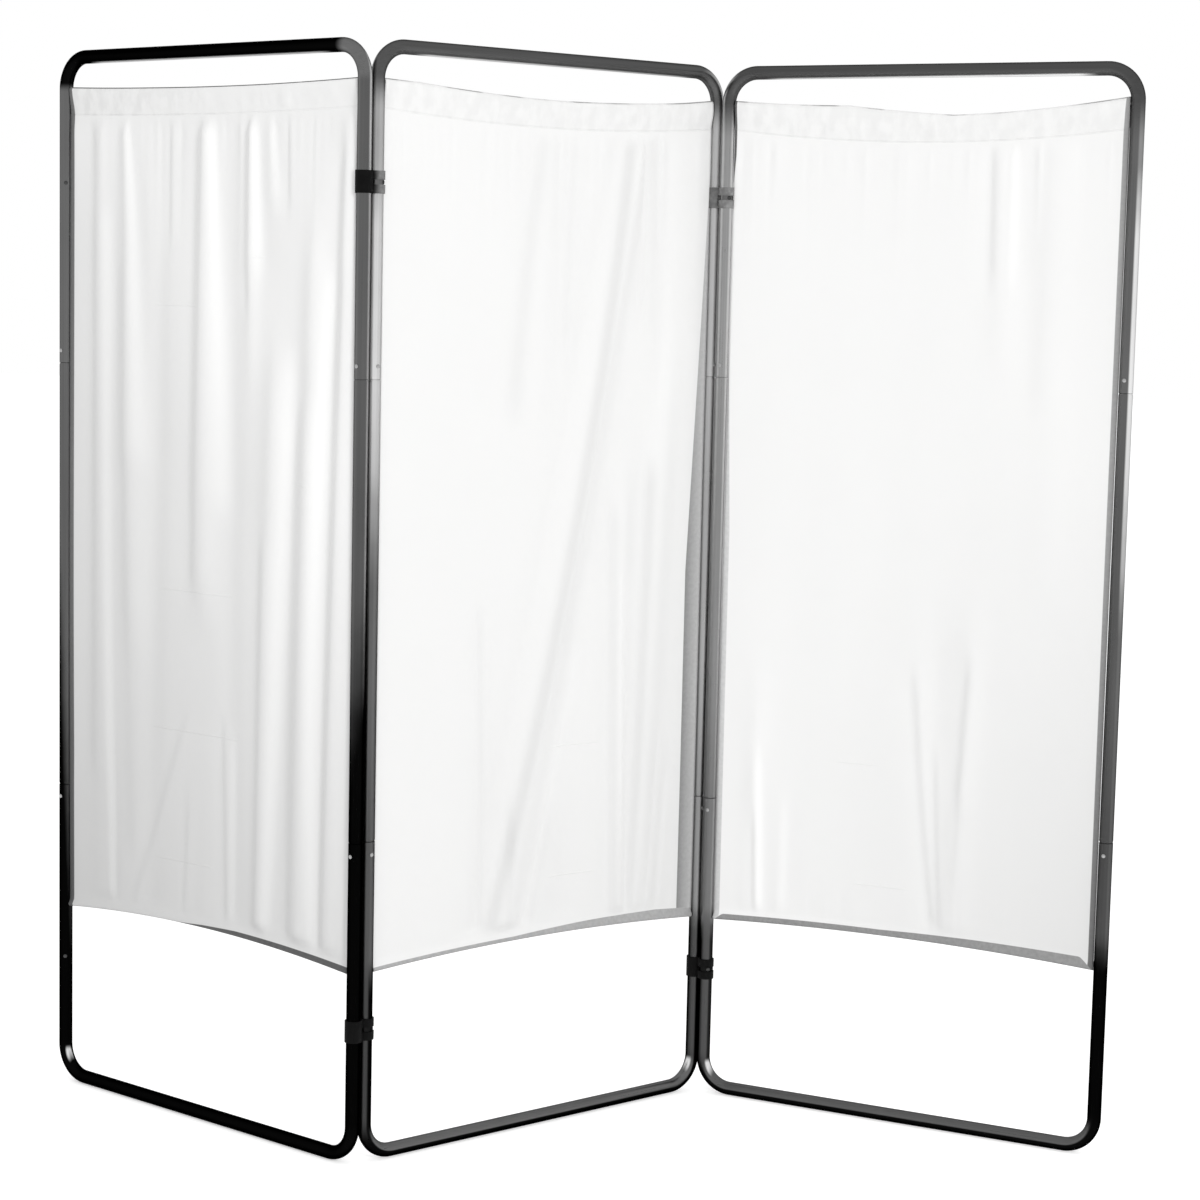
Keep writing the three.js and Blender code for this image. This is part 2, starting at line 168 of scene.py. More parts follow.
class StageSettings(bpy.types.PropertyGroup):
    eye: point("Eye", "Where the camera stands", (0.043, -4.491, 1.385))
    pitch: angle("Pitch", "How far the camera looks down", math.radians(6.597))
    roll: angle("Roll", "How far the camera leans", math.radians(1.296))
    lens: optic("Lens", "Focal length", 84.75)
    sensor: optic("Sensor", "Sensor width", 36.0)
    reach: length("Reach", "How far the camera sees", 100.0)
    ambient: share("Ambient", "Strength of the even light from all round", 0.88)
    lamp_place: point("Lamp", "Where the lamp stands", (1.5, -4.0, 2.2))
    lamp_aim: point("Lamp aim", "What the lamp points at", (0.1, 0, 1.0))
    lamp_size: length("Lamp size", "Side of the square lamp", 0.8)
    lamp_power: power("Lamp power", "Power of the lamp", 80.0)
    floor_drop: length("Floor drop", "How far the floor lies below the rails", 0.0005)
    floor_size: length("Floor size", "Side of the square floor", 60.0)
    floor_grey: share("Floor grey", "How pale the floor is", 0.82)
    floor_glow: share("Floor glow", "How much the floor glows where it is seen", 0.45)


# Modelling helpers

def start_piece(name):
    """Names the primitive that was just added, so that it can be shaped."""
    piece = bpy.context.active_object
    piece.name = name
    piece.data.name = name
    return piece


def clear_selection():
    if bpy.context.mode != "OBJECT":
        bpy.ops.object.mode_set(mode="OBJECT")
    bpy.ops.object.select_all(action="DESELECT")


def only(piece):
    clear_selection()
    piece.select_set(True)
    bpy.context.view_layer.objects.active = piece


def edit_all(piece):
    """Opens a whole piece for editing."""
    only(piece)
    bpy.ops.object.mode_set(mode="EDIT")
    bpy.ops.mesh.select_all(action="SELECT")


def settle(piece, smooth_angle=35):
    """Puts a shaped piece's place in its mesh, points its faces outwards and smooths them."""
    only(piece)
    bpy.ops.object.transform_apply(location=True, rotation=True, scale=True)
    edit_all(piece)
    bpy.ops.mesh.remove_doubles(threshold=1e-6)
    bpy.ops.mesh.normals_make_consistent(inside=False)
    bpy.ops.object.mode_set(mode="OBJECT")
    bpy.ops.object.shade_smooth_by_angle(angle=math.radians(smooth_angle))
    return piece


def apply_modifier(piece, kind, **settings):
    only(piece)
    modifier = piece.modifiers.new(kind.title(), kind)
    for key, value in settings.items():
        setattr(modifier, key, value)
    bpy.ops.object.modifier_apply(modifier=modifier.name)


def extrude(step):
    bpy.ops.mesh.extrude_region_move(TRANSFORM_OT_translate={"value": tuple(step)})


def resize(factor, centre):
    bpy.ops.transform.resize(value=(factor, factor, factor), center_override=tuple(centre))


def grow(profile, level, width, x=0):
    """Draws the open end of a piece on, through the levels and widths of a profile."""
    for next_level, next_width in profile:
        extrude((0, 0, next_level - level))
        resize(next_width / width, (x, 0, next_level))
        level, width = next_level, next_width


def start_ring(name, radius, sides, place, rotation=(0, 0, 0)):
    clear_selection()
    bpy.ops.mesh.primitive_circle_add(vertices=sides, radius=radius, location=tuple(place),
                                      rotation=rotation)
    piece = start_piece(name)
    edit_all(piece)
    return piece


def store(mesh, name, values):
    """Keeps a number for each vertex, for the materials."""
    mesh.attributes.new(name, "FLOAT", "POINT").data.foreach_set("value", values)


def copy_of(master, name, matrix):
    """A copy with a mesh of its own, moved within that mesh."""
    mesh = master.data.copy()
    mesh.transform(matrix)
    mesh.name = name
    piece = bpy.data.objects.new(name, mesh)
    bpy.context.scene.collection.objects.link(piece)
    return piece


def discard(piece):
    bpy.data.objects.remove(piece)


def dress(piece, body, slot, material, *nodes):
    """Gives a finished piece its material and its body, and hides the nodes it stands for; the slot is
    not used.
    """
    piece.data.materials.clear()
    piece.data.materials.append(material)
    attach(piece, body)
    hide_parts(*nodes)


# Materials

class Term:
    """A socket that can be used in Python expressions."""

    def __init__(self, finish, socket):
        self.finish, self.socket = finish, socket

    def maths(self, operation, *terms):
        return self.finish.add("ShaderNodeMath", {"operation": operation}, dict(enumerate(terms)))

    def __add__(self, other):
        return self.maths("ADD", self, other)

    def __radd__(self, other):
        return self.maths("ADD", other, self)

    def __sub__(self, other):
        return self.maths("SUBTRACT", self, other)

    def __rsub__(self, other):
        return self.maths("SUBTRACT", other, self)

    def __mul__(self, other):
        return self.maths("MULTIPLY", self, other)

    def __rmul__(self, other):
        return self.maths("MULTIPLY", other, self)

    def largest(self, other):
        return self.maths("MAXIMUM", self, other)

    def wave(self):
        return self.maths("SINE", self)

    def rise(self, low, high, interpolation="SMOOTHSTEP"):
        """0 below low, 1 above high and smooth between."""
        return self.finish.add("ShaderNodeMapRange", {"interpolation_type": interpolation},
                               {"Value": self, "From Min": low, "From Max": high})

    def ramp(self, low, high):
        """0 below low, 1 above high and straight between."""
        return self.rise(low, high, "LINEAR")

    def within(self, low, high, ease):
        """1 from low to high, and 0 further than ease outside of them."""
        return self.rise(low - ease, low) * (1 - self.rise(high, high + ease))


def mix(a, b, factor):
    return a + (b - a) * factor


def grey(value):
    return (value, value, value, 1)


def tinted(colour, strength=1):
    return (*[min(1, part * strength) for part in colour], 1)


class Finish:
    """The nodes of a material, or of the world."""

    def __init__(self, owner):
        owner.use_nodes = True
        self.owner, self.tree = owner, owner.node_tree
        self.tree.nodes.clear()

    def add(self, kind, settings=None, sockets=None, output=0):
        """A new node, set first and then given the values or links of its sockets."""
        node = self.tree.nodes.new(kind)
        for key, value in (settings or {}).items():
            setattr(node, key, value)
        for key, value in (sockets or {}).items():
            if isinstance(value, Term):
                self.tree.links.new(value.socket, node.inputs[key])
            else:
                node.inputs[key].default_value = value
        return Term(self, node.outputs[output]) if node.outputs else None

    def coordinates(self, kind):
        return self.add("ShaderNodeTexCoord", output=kind)

    def in_leaf(self, leaf):
        """Object coordinates, turned to a leaf's own frame."""
        return self.add("ShaderNodeMapping", {"vector_type": "TEXTURE"}, {
            "Vector": self.coordinates("Object"), "Location": upright(leaf, "left"),
            "Rotation": (0, 0, turn_of(leaf))})

    def attribute(self, name):
        return self.add("ShaderNodeAttribute", {"attribute_name": name}, output="Fac")

    def split(self, vector):
        parts = self.add("ShaderNodeSeparateXYZ", None, {0: vector}).socket.node.outputs
        return [Term(self, part) for part in parts]

    def noise(self, vector, scale, detail):
        """Soft unevenness, at so many spots to the metre each way."""
        scaled = self.add("ShaderNodeMapping", None, {"Vector": vector, "Scale": scale})
        return self.add("ShaderNodeTexNoise", None, {"Vector": scaled, "Scale": 1,
                                                     "Detail": detail})

    def blend(self, factor, a, b):
        """Colour a where factor is 0 and b where it is 1."""
        return self.add("ShaderNodeMix", {"data_type": "RGBA"}, {0: factor, 6: a, 7: b}, 2)

    def greyed(self, tone):
        return self.blend(tone, grey(0), grey(1))

    def bump(self, height, distance=1):
        return self.add("ShaderNodeBump", None,
                        {"Height": height, "Distance": distance, "Strength": 1})

    def seen(self):
        """1 for a ray from the camera, also one that comes by metal or glass."""
        camera, glossy, through = [self.add("ShaderNodeLightPath", output=f"Is {kind} Ray")
                                   for kind in ("Camera", "Glossy", "Transmission")]
        return camera.largest(glossy).largest(through)

    def show(self, shader, kind="Material"):
        self.add(f"ShaderNodeOutput{kind}", None, {"Surface": shader})
        return self.owner

    def surface(self, **sockets):
        named = {key.replace("_", " "): value for key, value in sockets.items()}
        return self.show(self.add("ShaderNodeBsdfPrincipled", None, named))


def new_finish(name):
    return Finish(bpy.data.materials.new(name))


# Painted reflections and shade on the uprights: the greys of each upright, from its left flank over its
# middle to its right flank, and how far
# right the last of them begins: first at the top, then for each change on the way down, with the
# heights between which it comes and how much higher up it comes on the left flank
UPRIGHT_TONES = {
    "left_leaf": {
        "left": ((0.16, 0.13, 0.17, 0.6), ((0.003, 0.003, 0.003, 0.6), 0.42, 0.80, 0.28)),
        "right": ((0.16, 0.11, 0.45, 0.95), ((0.003, 0.003, 0.003, 0.6), 0.62, 0.92, -0.05)),
    },
    "middle_leaf": {
        "left": ((0.45, 0.36, 0.42, 0.6), ((0.85, 0.62, 0.60, 0.6), 1.43, 1.56, 0),
                 ((0.01, 0.13, 0.17, 0.6), 0.90, 1.16, 0),
                 ((0.003, 0.09, 0.004, 0.6), 0.27, 0.33, 0)),
        "right": ((0.32, 0.42, 0.60, 0.8), ((0.004, 0.12, 0.004, 0.6), 0.27, 0.33, 0)),
    },
    "right_leaf": {
        "left": ((0.55, 0.28, 0.60, 0.6), ((0.003, 0.14, 0.03, 0.6), 0.27, 0.33, 0)),
        "right": ((0.10, 0.13, 0.28, 0.3), ((0.13, 0.12, 0.75, 0.3), 1.46, 1.57, 0),
                  ((0.12, 0.11, 0.17, 0.4), 0.80, 1.10, 0),
                  ((0.003, 0.003, 0.003, 0.6), 0.30, 0.38, 0)),
    },
}
# Painted shade on the uprights, darker towards the floor:
LOW_LIGHT = 0.5  # how light the uprights still are low down
DIMMING = (0.5, 1.2)  # the heights between which they get there

# The uprights that carry clips, and the painted shade on them behind the windows of the clips
CLIPPED = {"left_leaf": ("right",), "middle_leaf": SIDES, "right_leaf": ("left",)}
CLIP_SHADES = {"top": 0.13, "bottom": 0.02}
CLIP_SHADE_REACH = 0.008  # how far up and down from the middle of a clip

# Painted reflections and shade on the rails: the greys of each leaf's top rail and of its right bend,
# of the lit upper and shaded lower half of the bottom rail, the height from which the uprights take on
# the top rail's, and how far up the left and the right end of the top rail show their bright underside,
# a painted reflection
RAIL_TONES = {
    "left_leaf": ((0.003, 0.15), (0.003, 0.003), 1.66, (-0.88, -0.88)),
    "middle_leaf": ((0.090, 0.090), (0.135, 0.003), 1.62, (-0.85, -0.95)),
    "right_leaf": ((0.072, 0.072), (0.105, 0.003), 1.60, (-0.95, -0.70)),
}
# Painted reflection on the top rail's underside:
UNDERSIDE = 0.92  # the grey of that underside
BEND_END = 0.10  # from an upright to where its rail is surely straight
TOP_RAIL_DROP = 0.052  # how far below the top the top rail's tones are complete
BOTTOM_RAIL = (0.030, 0.075)  # the heights between which the bottom rail's tones end
RIGHT_BEND = (0.035, 0.055)  # how far from the right upright its bend's tone ends

# Painted highlight on the upper bends where they face a neighbour: how far from the upright and from
# what height
LIT_FLANK, LIT_REACH, LIT_RISE = 0.6, (0.03, 0.05), (1.45, 1.6)

# The lower corners with a painted highlight, how far from the upright and at what heights
GLINTS = {"left_leaf": "left", "middle_leaf": "right", "right_leaf": "left"}
GLINT, GLINT_REACH, GLINT_RISE = 0.75, (0.012, 0.022), (0.03, 0.05, 0.01)


class TubeFinish(Finish):
    """Polished tube, with painted reflections in bands along its length, and painted shade towards the
    floor and on its rails.
    """

    def __init__(self, leaf):
        super().__init__(bpy.data.materials.new(f"{leaf}_tube"))
        self.leaf = leaf
        place = self.in_leaf(leaf)
        self.across, _, self.height = self.split(place)
        self.side, self.towards, self.up = self.split(self.coordinates("Normal"))
        self.from_upright = {"left": self.across, "right": SPACING - self.across}
        self.outwards = {"left": 0 - self.side, "right": self.side}
        self.smear = self.noise(place, (9, 9, 9), 3)
        in_top = self.height.rise(RAIL_TONES[leaf][2], HEIGHT - TOP_RAIL_DROP)
        in_bottom = 1 - self.height.rise(*BOTTOM_RAIL)
        # Streaks along the uprights and rails: polish grain in the bump and roughness, and painted
        # reflection streaks in the tone
        streak = mix(self.noise(place, (420, 420, 2.2), 3), self.noise(place, (2.2, 420, 420), 3),
                     in_top + in_bottom)

        tone = self.with_lit_flanks(mix(self.upright_tone(), self.top_tone(), in_top))
        tone = mix(tone, self.bottom_tone(), in_bottom)
        tone = tone * (0.74 + 0.34 * streak + 0.18 * self.smear)
        # Painted highlight on one lower corner
        tone = mix(tone, GLINT, self.in_glint())
        self.surface(Base_Color=self.greyed(tone), Metallic=1, Specular_Tint=grey(0.3),
                     Roughness=0.20 + 0.10 * self.smear + 0.08 * streak,
                     Normal=self.bump(streak, 0.00003))

    def banded(self, left, middle, right, edge):
        # Painted reflections: a grey for the left flank, the middle and the right flank of a tube
        tone = mix(left, middle, self.side.rise(-0.85, -0.4))
        return mix(tone, right, self.side.rise(edge - 0.3, edge))

    def upright_tone(self):
        # Painted shade on the tube inside the windows of the clips
        behind_clips = []
        for end, shade in CLIP_SHADES.items():
            level = middle_of(f"left_hinge_clip_{end}").z
            low, high = level - CLIP_SHADE_REACH, level + CLIP_SHADE_REACH
            behind_clips.append((shade, self.height.within(low, high, CLIP_SHADE_REACH / 2)))
        tones = []
        for name in SIDES:
            top, *changes = UPRIGHT_TONES[self.leaf][name]
            tone = self.banded(*top)
            for below, low, high, lean in changes:
                # Painted shade and light that change on the way down
                lit = self.height + self.side * lean + self.smear * 0.12 - 0.06
                tone = mix(self.banded(*below), tone, lit.rise(low, high))
            if name in CLIPPED[self.leaf]:
                for shade, behind in behind_clips:
                    tone = mix(tone, shade, behind)
            tones.append(tone)
        tone = mix(*tones, self.across.rise(SPACING * 0.4, SPACING * 0.6))
        # Painted shade towards the floor
        return tone * mix(LOW_LIGHT, 1, self.height.ramp(*DIMMING))

    def top_tone(self):
        (rail, right_bend), _, _, under_ends = RAIL_TONES[self.leaf]
        tone = mix(right_bend, rail, self.from_upright["right"].rise(*RIGHT_BEND))
        under = mix(*under_ends, self.across * (1 / SPACING))
        straight = self.across.within(BEND_END, SPACING - BEND_END, 0.04)
        # Painted reflection on the underside of the straight top rail
        return mix(tone, UNDERSIDE, straight * (1 - self.up.rise(under - 0.15, under + 0.15)))

    def bottom_tone(self):
        upper, lower = RAIL_TONES[self.leaf][1]
        # Painted light on the upper half of the bottom rail, painted shade on its lower half
        return mix(lower, upper, self.up.rise(-0.02, 0.2))

    def with_lit_flanks(self, tone):
        # Painted highlight on the upper bends that face a neighbour
        for name in CLIPPED[self.leaf]:
            near = 1 - self.from_upright[name].rise(*LIT_REACH)
            facing = self.outwards[name].rise(0.6, 0.95)
            tone = mix(tone, LIT_FLANK, facing * near * self.height.rise(*LIT_RISE))
        return tone

    def in_glint(self):
        # Painted highlight, by the way the corner faces
        name = GLINTS[self.leaf]
        near = 1 - self.from_upright[name].rise(*GLINT_REACH)
        facing = self.up * 0.45 - self.outwards[name] * 0.45 - self.towards * 0.75
        return near * self.height.within(*GLINT_RISE) * facing.rise(0.80, 0.95)


def metal_finish(name, colour, grain=(900, 900, 900), detail=2, pale=1, rough=(0.25, 0.2),
                 depth=0.00005):
    """Bare metal, dulled in spots. What isn't given is as on a rivet's head."""
    finish = new_finish(name)
    wear = finish.noise(finish.coordinates("Object"), grain, detail)
    smooth, dulled = rough
    return finish.surface(Base_Color=finish.blend(wear, tinted(colour, 0.8), tinted(colour, pale)),
                          Metallic=1, Roughness=smooth + dulled * wear,
                          Normal=finish.bump(wear, depth))


# The lit greys painted on the first and second eye of an upper clip, as painted light against the black
# lower clips, and the heights between which the upper clips surely begin
CLIP_TONES = {"left": (0.004, 0.17), "right": (0.13, 0.20)}
UPPER_CLIPS = (0.8, 1.2)


def clip_finish(name):
    """Moulded black plastic, with painted light: the upper clips are painted a lit grey, scuffed."""
    finish = new_finish(f"{name}_clip_plastic")
    place = finish.coordinates("Object")
    height = finish.split(place)[2]
    grain = finish.noise(place, (1600, 1600, 1600), 2)
    scuff = finish.noise(place, (120, 120, 120), 4).rise(0.3, 0.75)
    painted_light_grey = mix(*CLIP_TONES[name], finish.attribute("along_clip").rise(0, 0.35))
    black = tinted(bpy.context.scene.screen_finish.clip_black)
    # Painted light: the upper clips lit grey, the lower ones left black
    shade = finish.blend(height.rise(*UPPER_CLIPS), black, finish.greyed(painted_light_grey * (0.75 + 0.5 * scuff)))
    return finish.surface(Base_Color=shade, Roughness=0.50 + 0.15 * grain + 0.1 * scuff,
                          Specular_IOR_Level=0.06, Normal=finish.bump(grain, 0.00006))


# Cloth shapes

# Each main fold of a cloth: its place across at the top and at the foot, its half width, its
# depth forwards (or backwards, where negative), and where down the cloth it starts and ends
FOLDS = {
    "left_leaf": (
        (0.12, 0.13, 0.028, 0.5, 0, 1), (0.22, 0.26, 0.030, 0.7, 0, 0.6),
        (0.34, 0.30, 0.030, -0.5, 0, 1), (0.50, 0.50, 0.032, 0.9, 0, 0.55),
        (0.58, 0.60, 0.030, -0.5, 0, 1), (0.66, 0.64, 0.022, 0.5, 0, 0.25),
        (0.76, 0.70, 0.030, 0.8, 0.35, 1), (0.87, 0.84, 0.030, 0.9, 0.2, 1),
        (0.975, 0.94, 0.026, 0.7, 0, 1),
    ),
    "middle_leaf": (
        (0.49, 0.42, 0.030, 0.4, 0, 0.3), (0.70, 0.29, 0.030, -0.4, 0, 1),
        (0.78, 0.38, 0.032, 1, 0, 1), (0.85, 0.85, 0.026, -0.4, 0, 0.3),
        (0.66, 0.58, 0.045, -0.5, 0.6, 1), (0.73, 0.75, 0.024, 0.7, 0.5, 1),
        (0.89, 0.82, 0.030, 0.7, 0.35, 1),
    ),
    "right_leaf": (
        (0.12, 0.10, 0.024, 0.4, 0.75, 1), (0.71, 0.71, 0.030, 0.4, 0, 0.2),
        (0.55, 0.59, 0.030, -0.4, 0.65, 1), (0.70, 0.64, 0.026, 0.5, 0.65, 1),
        (0.84, 0.84, 0.040, 0.3, 0, 0.5),
    ),
}
FOLD_RAMP = 0.12  # how far down the cloth a fold takes to come or to go
FOLD_WIDENING = 0.4  # how much wider a fold is at the foot

# Each crease: its place across at the top, half-way and at the foot, the half width of its flank
# there and at the foot, its rise to the right (or fall, where negative), where it starts and ends
CREASES = {
    "left_leaf": (
        (0.215, 0.275, 0.30, 0.006, 0.060, -0.9, 0, 0.40),
        (0.488, 0.460, 0.45, 0.010, 0.024, 0.8, 0, 0.55),
        (0.513, 0.560, 0.57, 0.008, 0.050, -0.9, 0, 0.45),
        (0.371, 0.368, 0.36, 0.006, 0.010, 0.4, 0, 0.12),
        (0.645, 0.640, 0.63, 0.007, 0.016, 0.6, 0, 0.20),
        (0.661, 0.700, 0.72, 0.006, 0.060, -0.8, 0, 0.16),
        (0.718, 0.800, 0.85, 0.006, 0.080, -0.6, 0, 0.08),
        (0.775, 0.790, 0.80, 0.006, 0.020, 0.4, 0, 0.08),
        (0.965, 0.934, 0.905, 0.012, 0.012, 0.9, 0.08, 1),
        (0.950, 0.882, 0.880, 0.018, 0.014, -0.9, 0.22, 1),
        (0.850, 0.818, 0.804, 0.022, 0.016, 0.8, 0.38, 1),
        (0.830, 0.770, 0.722, 0.024, 0.010, -0.9, 0.32, 1),
        (0.720, 0.705, 0.685, 0.015, 0.012, 0.6, 0.55, 1),
        (0.095, 0.094, 0.090, 0.014, 0.020, 0.5, 0, 0.8),
        (0.145, 0.147, 0.171, 0.016, 0.006, -0.6, 0.15, 1),
        (0.195, 0.210, 0.240, 0.016, 0.024, 0.5, 0.22, 0.9),
        (1.020, 0.630, 0.237, 0.012, 0.012, 0.4, 0.78, 1),
        (0.560, 0.562, 0.580, 0.010, 0.010, 0.5, 0.78, 1),
        (0.610, 0.605, 0.600, 0.012, 0.008, -0.4, 0.80, 1),
        (0.480, 0.470, 0.430, 0.010, 0.008, 0.3, 0.88, 1),
    ),
    "middle_leaf": (
        (0.468, 0.370, 0.380, 0.014, 0.022, 0.6, 0, 0.32),
        (0.561, 0.520, 0.480, 0.008, 0.012, 0.5, 0, 0.24),
        (0.741, 0.580, 0.338, 0.012, 0.014, 1.1, 0, 1),
        (0.790, 0.775, 0.760, 0.007, 0.012, 0.5, 0, 0.20),
        (0.833, 0.860, 0.880, 0.006, 0.012, 0.4, 0, 0.12),
        (0.250, 0.290, 0.322, 0.008, 0.008, 0.5, 0.62, 1),
        (0.700, 0.706, 0.732, 0.012, 0.010, 0.6, 0.50, 1),
        (0.730, 0.735, 0.770, 0.012, 0.012, -0.7, 0.58, 1),
        (0.840, 0.820, 0.785, 0.014, 0.010, 0.9, 0.45, 1),
        (0.880, 0.660, 0.435, 0.020, 0.014, -0.6, 0.68, 1),
        (0.940, 0.690, 0.465, 0.010, 0.012, 0.6, 0.88, 1),
        (0.900, 0.900, 0.840, 0.010, 0.007, 0.4, 0.80, 1),
        (0.930, 0.930, 0.880, 0.010, 0.007, 0.3, 0.86, 1),
        (0.450, 0.420, 0.395, 0.010, 0.008, 0.4, 0.86, 1),
    ),
    "right_leaf": (
        (0.675, 0.690, 0.700, 0.008, 0.020, 0.5, 0, 0.14),
        (0.730, 0.740, 0.750, 0.008, 0.020, -0.3, 0, 0.14),
        (0.800, 0.800, 0.800, 0.020, 0.020, 0.25, 0, 0.30),
        (0.500, 0.500, 0.590, 0.014, 0.008, 0.5, 0.70, 1),
        (0.690, 0.672, 0.621, 0.014, 0.008, 0.6, 0.68, 1),
        (0.560, 0.560, 0.608, 0.010, 0.007, 0.4, 0.80, 1),
        (0.660, 0.660, 0.622, 0.010, 0.007, -0.5, 0.86, 1),
        (0.090, 0.095, 0.114, 0.010, 0.006, 0.5, 0.90, 1),
        (0.100, 0.104, 0.126, 0.012, 0.007, -0.6, 0.82, 1),
        (0.180, 0.185, 0.190, 0.012, 0.010, -0.3, 0.88, 1),
    ),
}
CREASE_RAMP = 0.06  # the same for a crease
FLANK_REACH = 3.5  # how far a crease's flanks run out, in its half widths
# LINE_REACH sets the width of a crease's line of painted shade and highlight
LINE_REACH = 1.3  # how wide the line of its edge is, in the same

# How many gathers, slow ripples and ruffles of the heading are drawn for a cloth
SEAM_GATHERS, HEM_GATHERS, RIPPLES, RUFFLES = 60, 20, 10, 60
RUFFLE_SEEDS = 100  # where the seeds of the headings' gathers begin
RIPPLE_SHARE = 0.35  # how much the slow unevenness changes the billow
SEAM_EASE, HEM_EASE = 40, 60  # how soon the folds stand out, away from the heading and the hem
FLAP_SLACK = 1.3  # how far a folded-over flap stands off, in thicknesses of the cloth
FOLD_ALLOWANCE = 1.03  # how much wider a cloth is when it lies flat

# How far the heading stands up above its casing, by share across each cloth
STANDS = {
    "left_leaf": ((0, 0.001), (0.3, 0.001), (0.7, 0.000), (1, 0.000)),
    "middle_leaf": ((0, 0.001), (0.1, 0.004), (0.5, 0.001), (0.9, 0.002), (1, 0.004)),
    "right_leaf": ((0, 0.004), (0.30, 0.013), (0.45, 0.006), (0.57, 0), (0.70, 0.001), (0.82, 0.003),
                   (1, 0.006)),
}

# How far the grey band along the lower edge reaches up, by share across each cloth
LOWER_BANDS = {
    "left_leaf": ((0, 0), (0.35, 0), (0.5, 0.007), (0.62, 0.0105), (1, 0.0125)),
    "middle_leaf": ((0, 0.009), (0.42, 0.009), (0.66, 0.0155), (0.88, 0.0195), (1, 0.0175)),
    "right_leaf": ((0, 0.001), (0.025, 0.012), (0.45, 0.012), (0.7, 0.0165), (0.965, 0.0195),
                   (1, 0.002)),
}


def smooth_step(value):
    value = np.clip(value, 0, 1)
    return value * value * (3 - 2 * value)


def between(down, begin, end, ramp):
    """1 from begin to end, coming and going within ramp outside of them."""
    return smooth_step((down - begin) / ramp + 1) * (1 - smooth_step((down - end) / ramp))


def fold_shift(leaf, across, down):
    """How far the main folds bring a cloth forwards, in shares of the fold depth."""
    shift = np.zeros_like(across)
    for top, foot, half, depth, begin, end in FOLDS[leaf]:
        centre = top + (foot - top) * down
        spread = half * (1 + FOLD_WIDENING * down)
        reach = between(down, begin, end, FOLD_RAMP)
        shift += depth * reach * np.exp(-((across - centre) / spread) ** 2)
    return shift


def crease_shift(leaf, across, down):
    """The same for the creases, in shares of the crease depth, and how strong their lines of painted
    shade and highlight are.
    """
    shift, lines = np.zeros_like(across), np.zeros_like(across)
    for top, middle, foot, half_top, half_foot, rise, begin, end in CREASES[leaf]:
        centre = (top * (1 - down) * (1 - 2 * down) + middle * 4 * down * (1 - down)
                  + foot * down * (2 * down - 1))
        offset = (across - centre) / (half_top + (half_foot - half_top) * down)
        reach = between(down, begin, end, CREASE_RAMP)
        shift += rise * reach * np.tanh(offset) * np.exp(-(offset / FLANK_REACH) ** 2)
        lines += rise * reach * np.exp(-(offset / LINE_REACH) ** 2)
    return shift, lines


def pucker_shift(across, down, rng):
    """Short gathers under the heading seam and above the hem."""
    shift = np.zeros_like(across)
    for _ in range(SEAM_GATHERS):
        offset = (across - rng.uniform(0.01, 0.99)) / rng.uniform(0.005, 0.012)
        shift += rng.uniform(-1, 1) * np.exp(-offset ** 2 - down / rng.uniform(0.015, 0.09))
    for _ in range(HEM_GATHERS):
        offset = (across - rng.uniform(0.01, 0.99)) / rng.uniform(0.006, 0.016)
        shift += rng.uniform(-0.6, 0.6) * np.exp(-offset ** 2 + (down - 1) / rng.uniform(0.02, 0.06))
    return shift


def ripple_shift(across, down, rng):
    """Slow unevenness of the whole web."""
    shift = np.zeros_like(across)
    for _ in range(RIPPLES):
        turns, drift = rng.uniform(1.5, 6), rng.uniform(0.2, 1.6)
        shift += np.sin(2 * math.pi * (across * turns + down * drift + rng.uniform())) / turns
    return shift


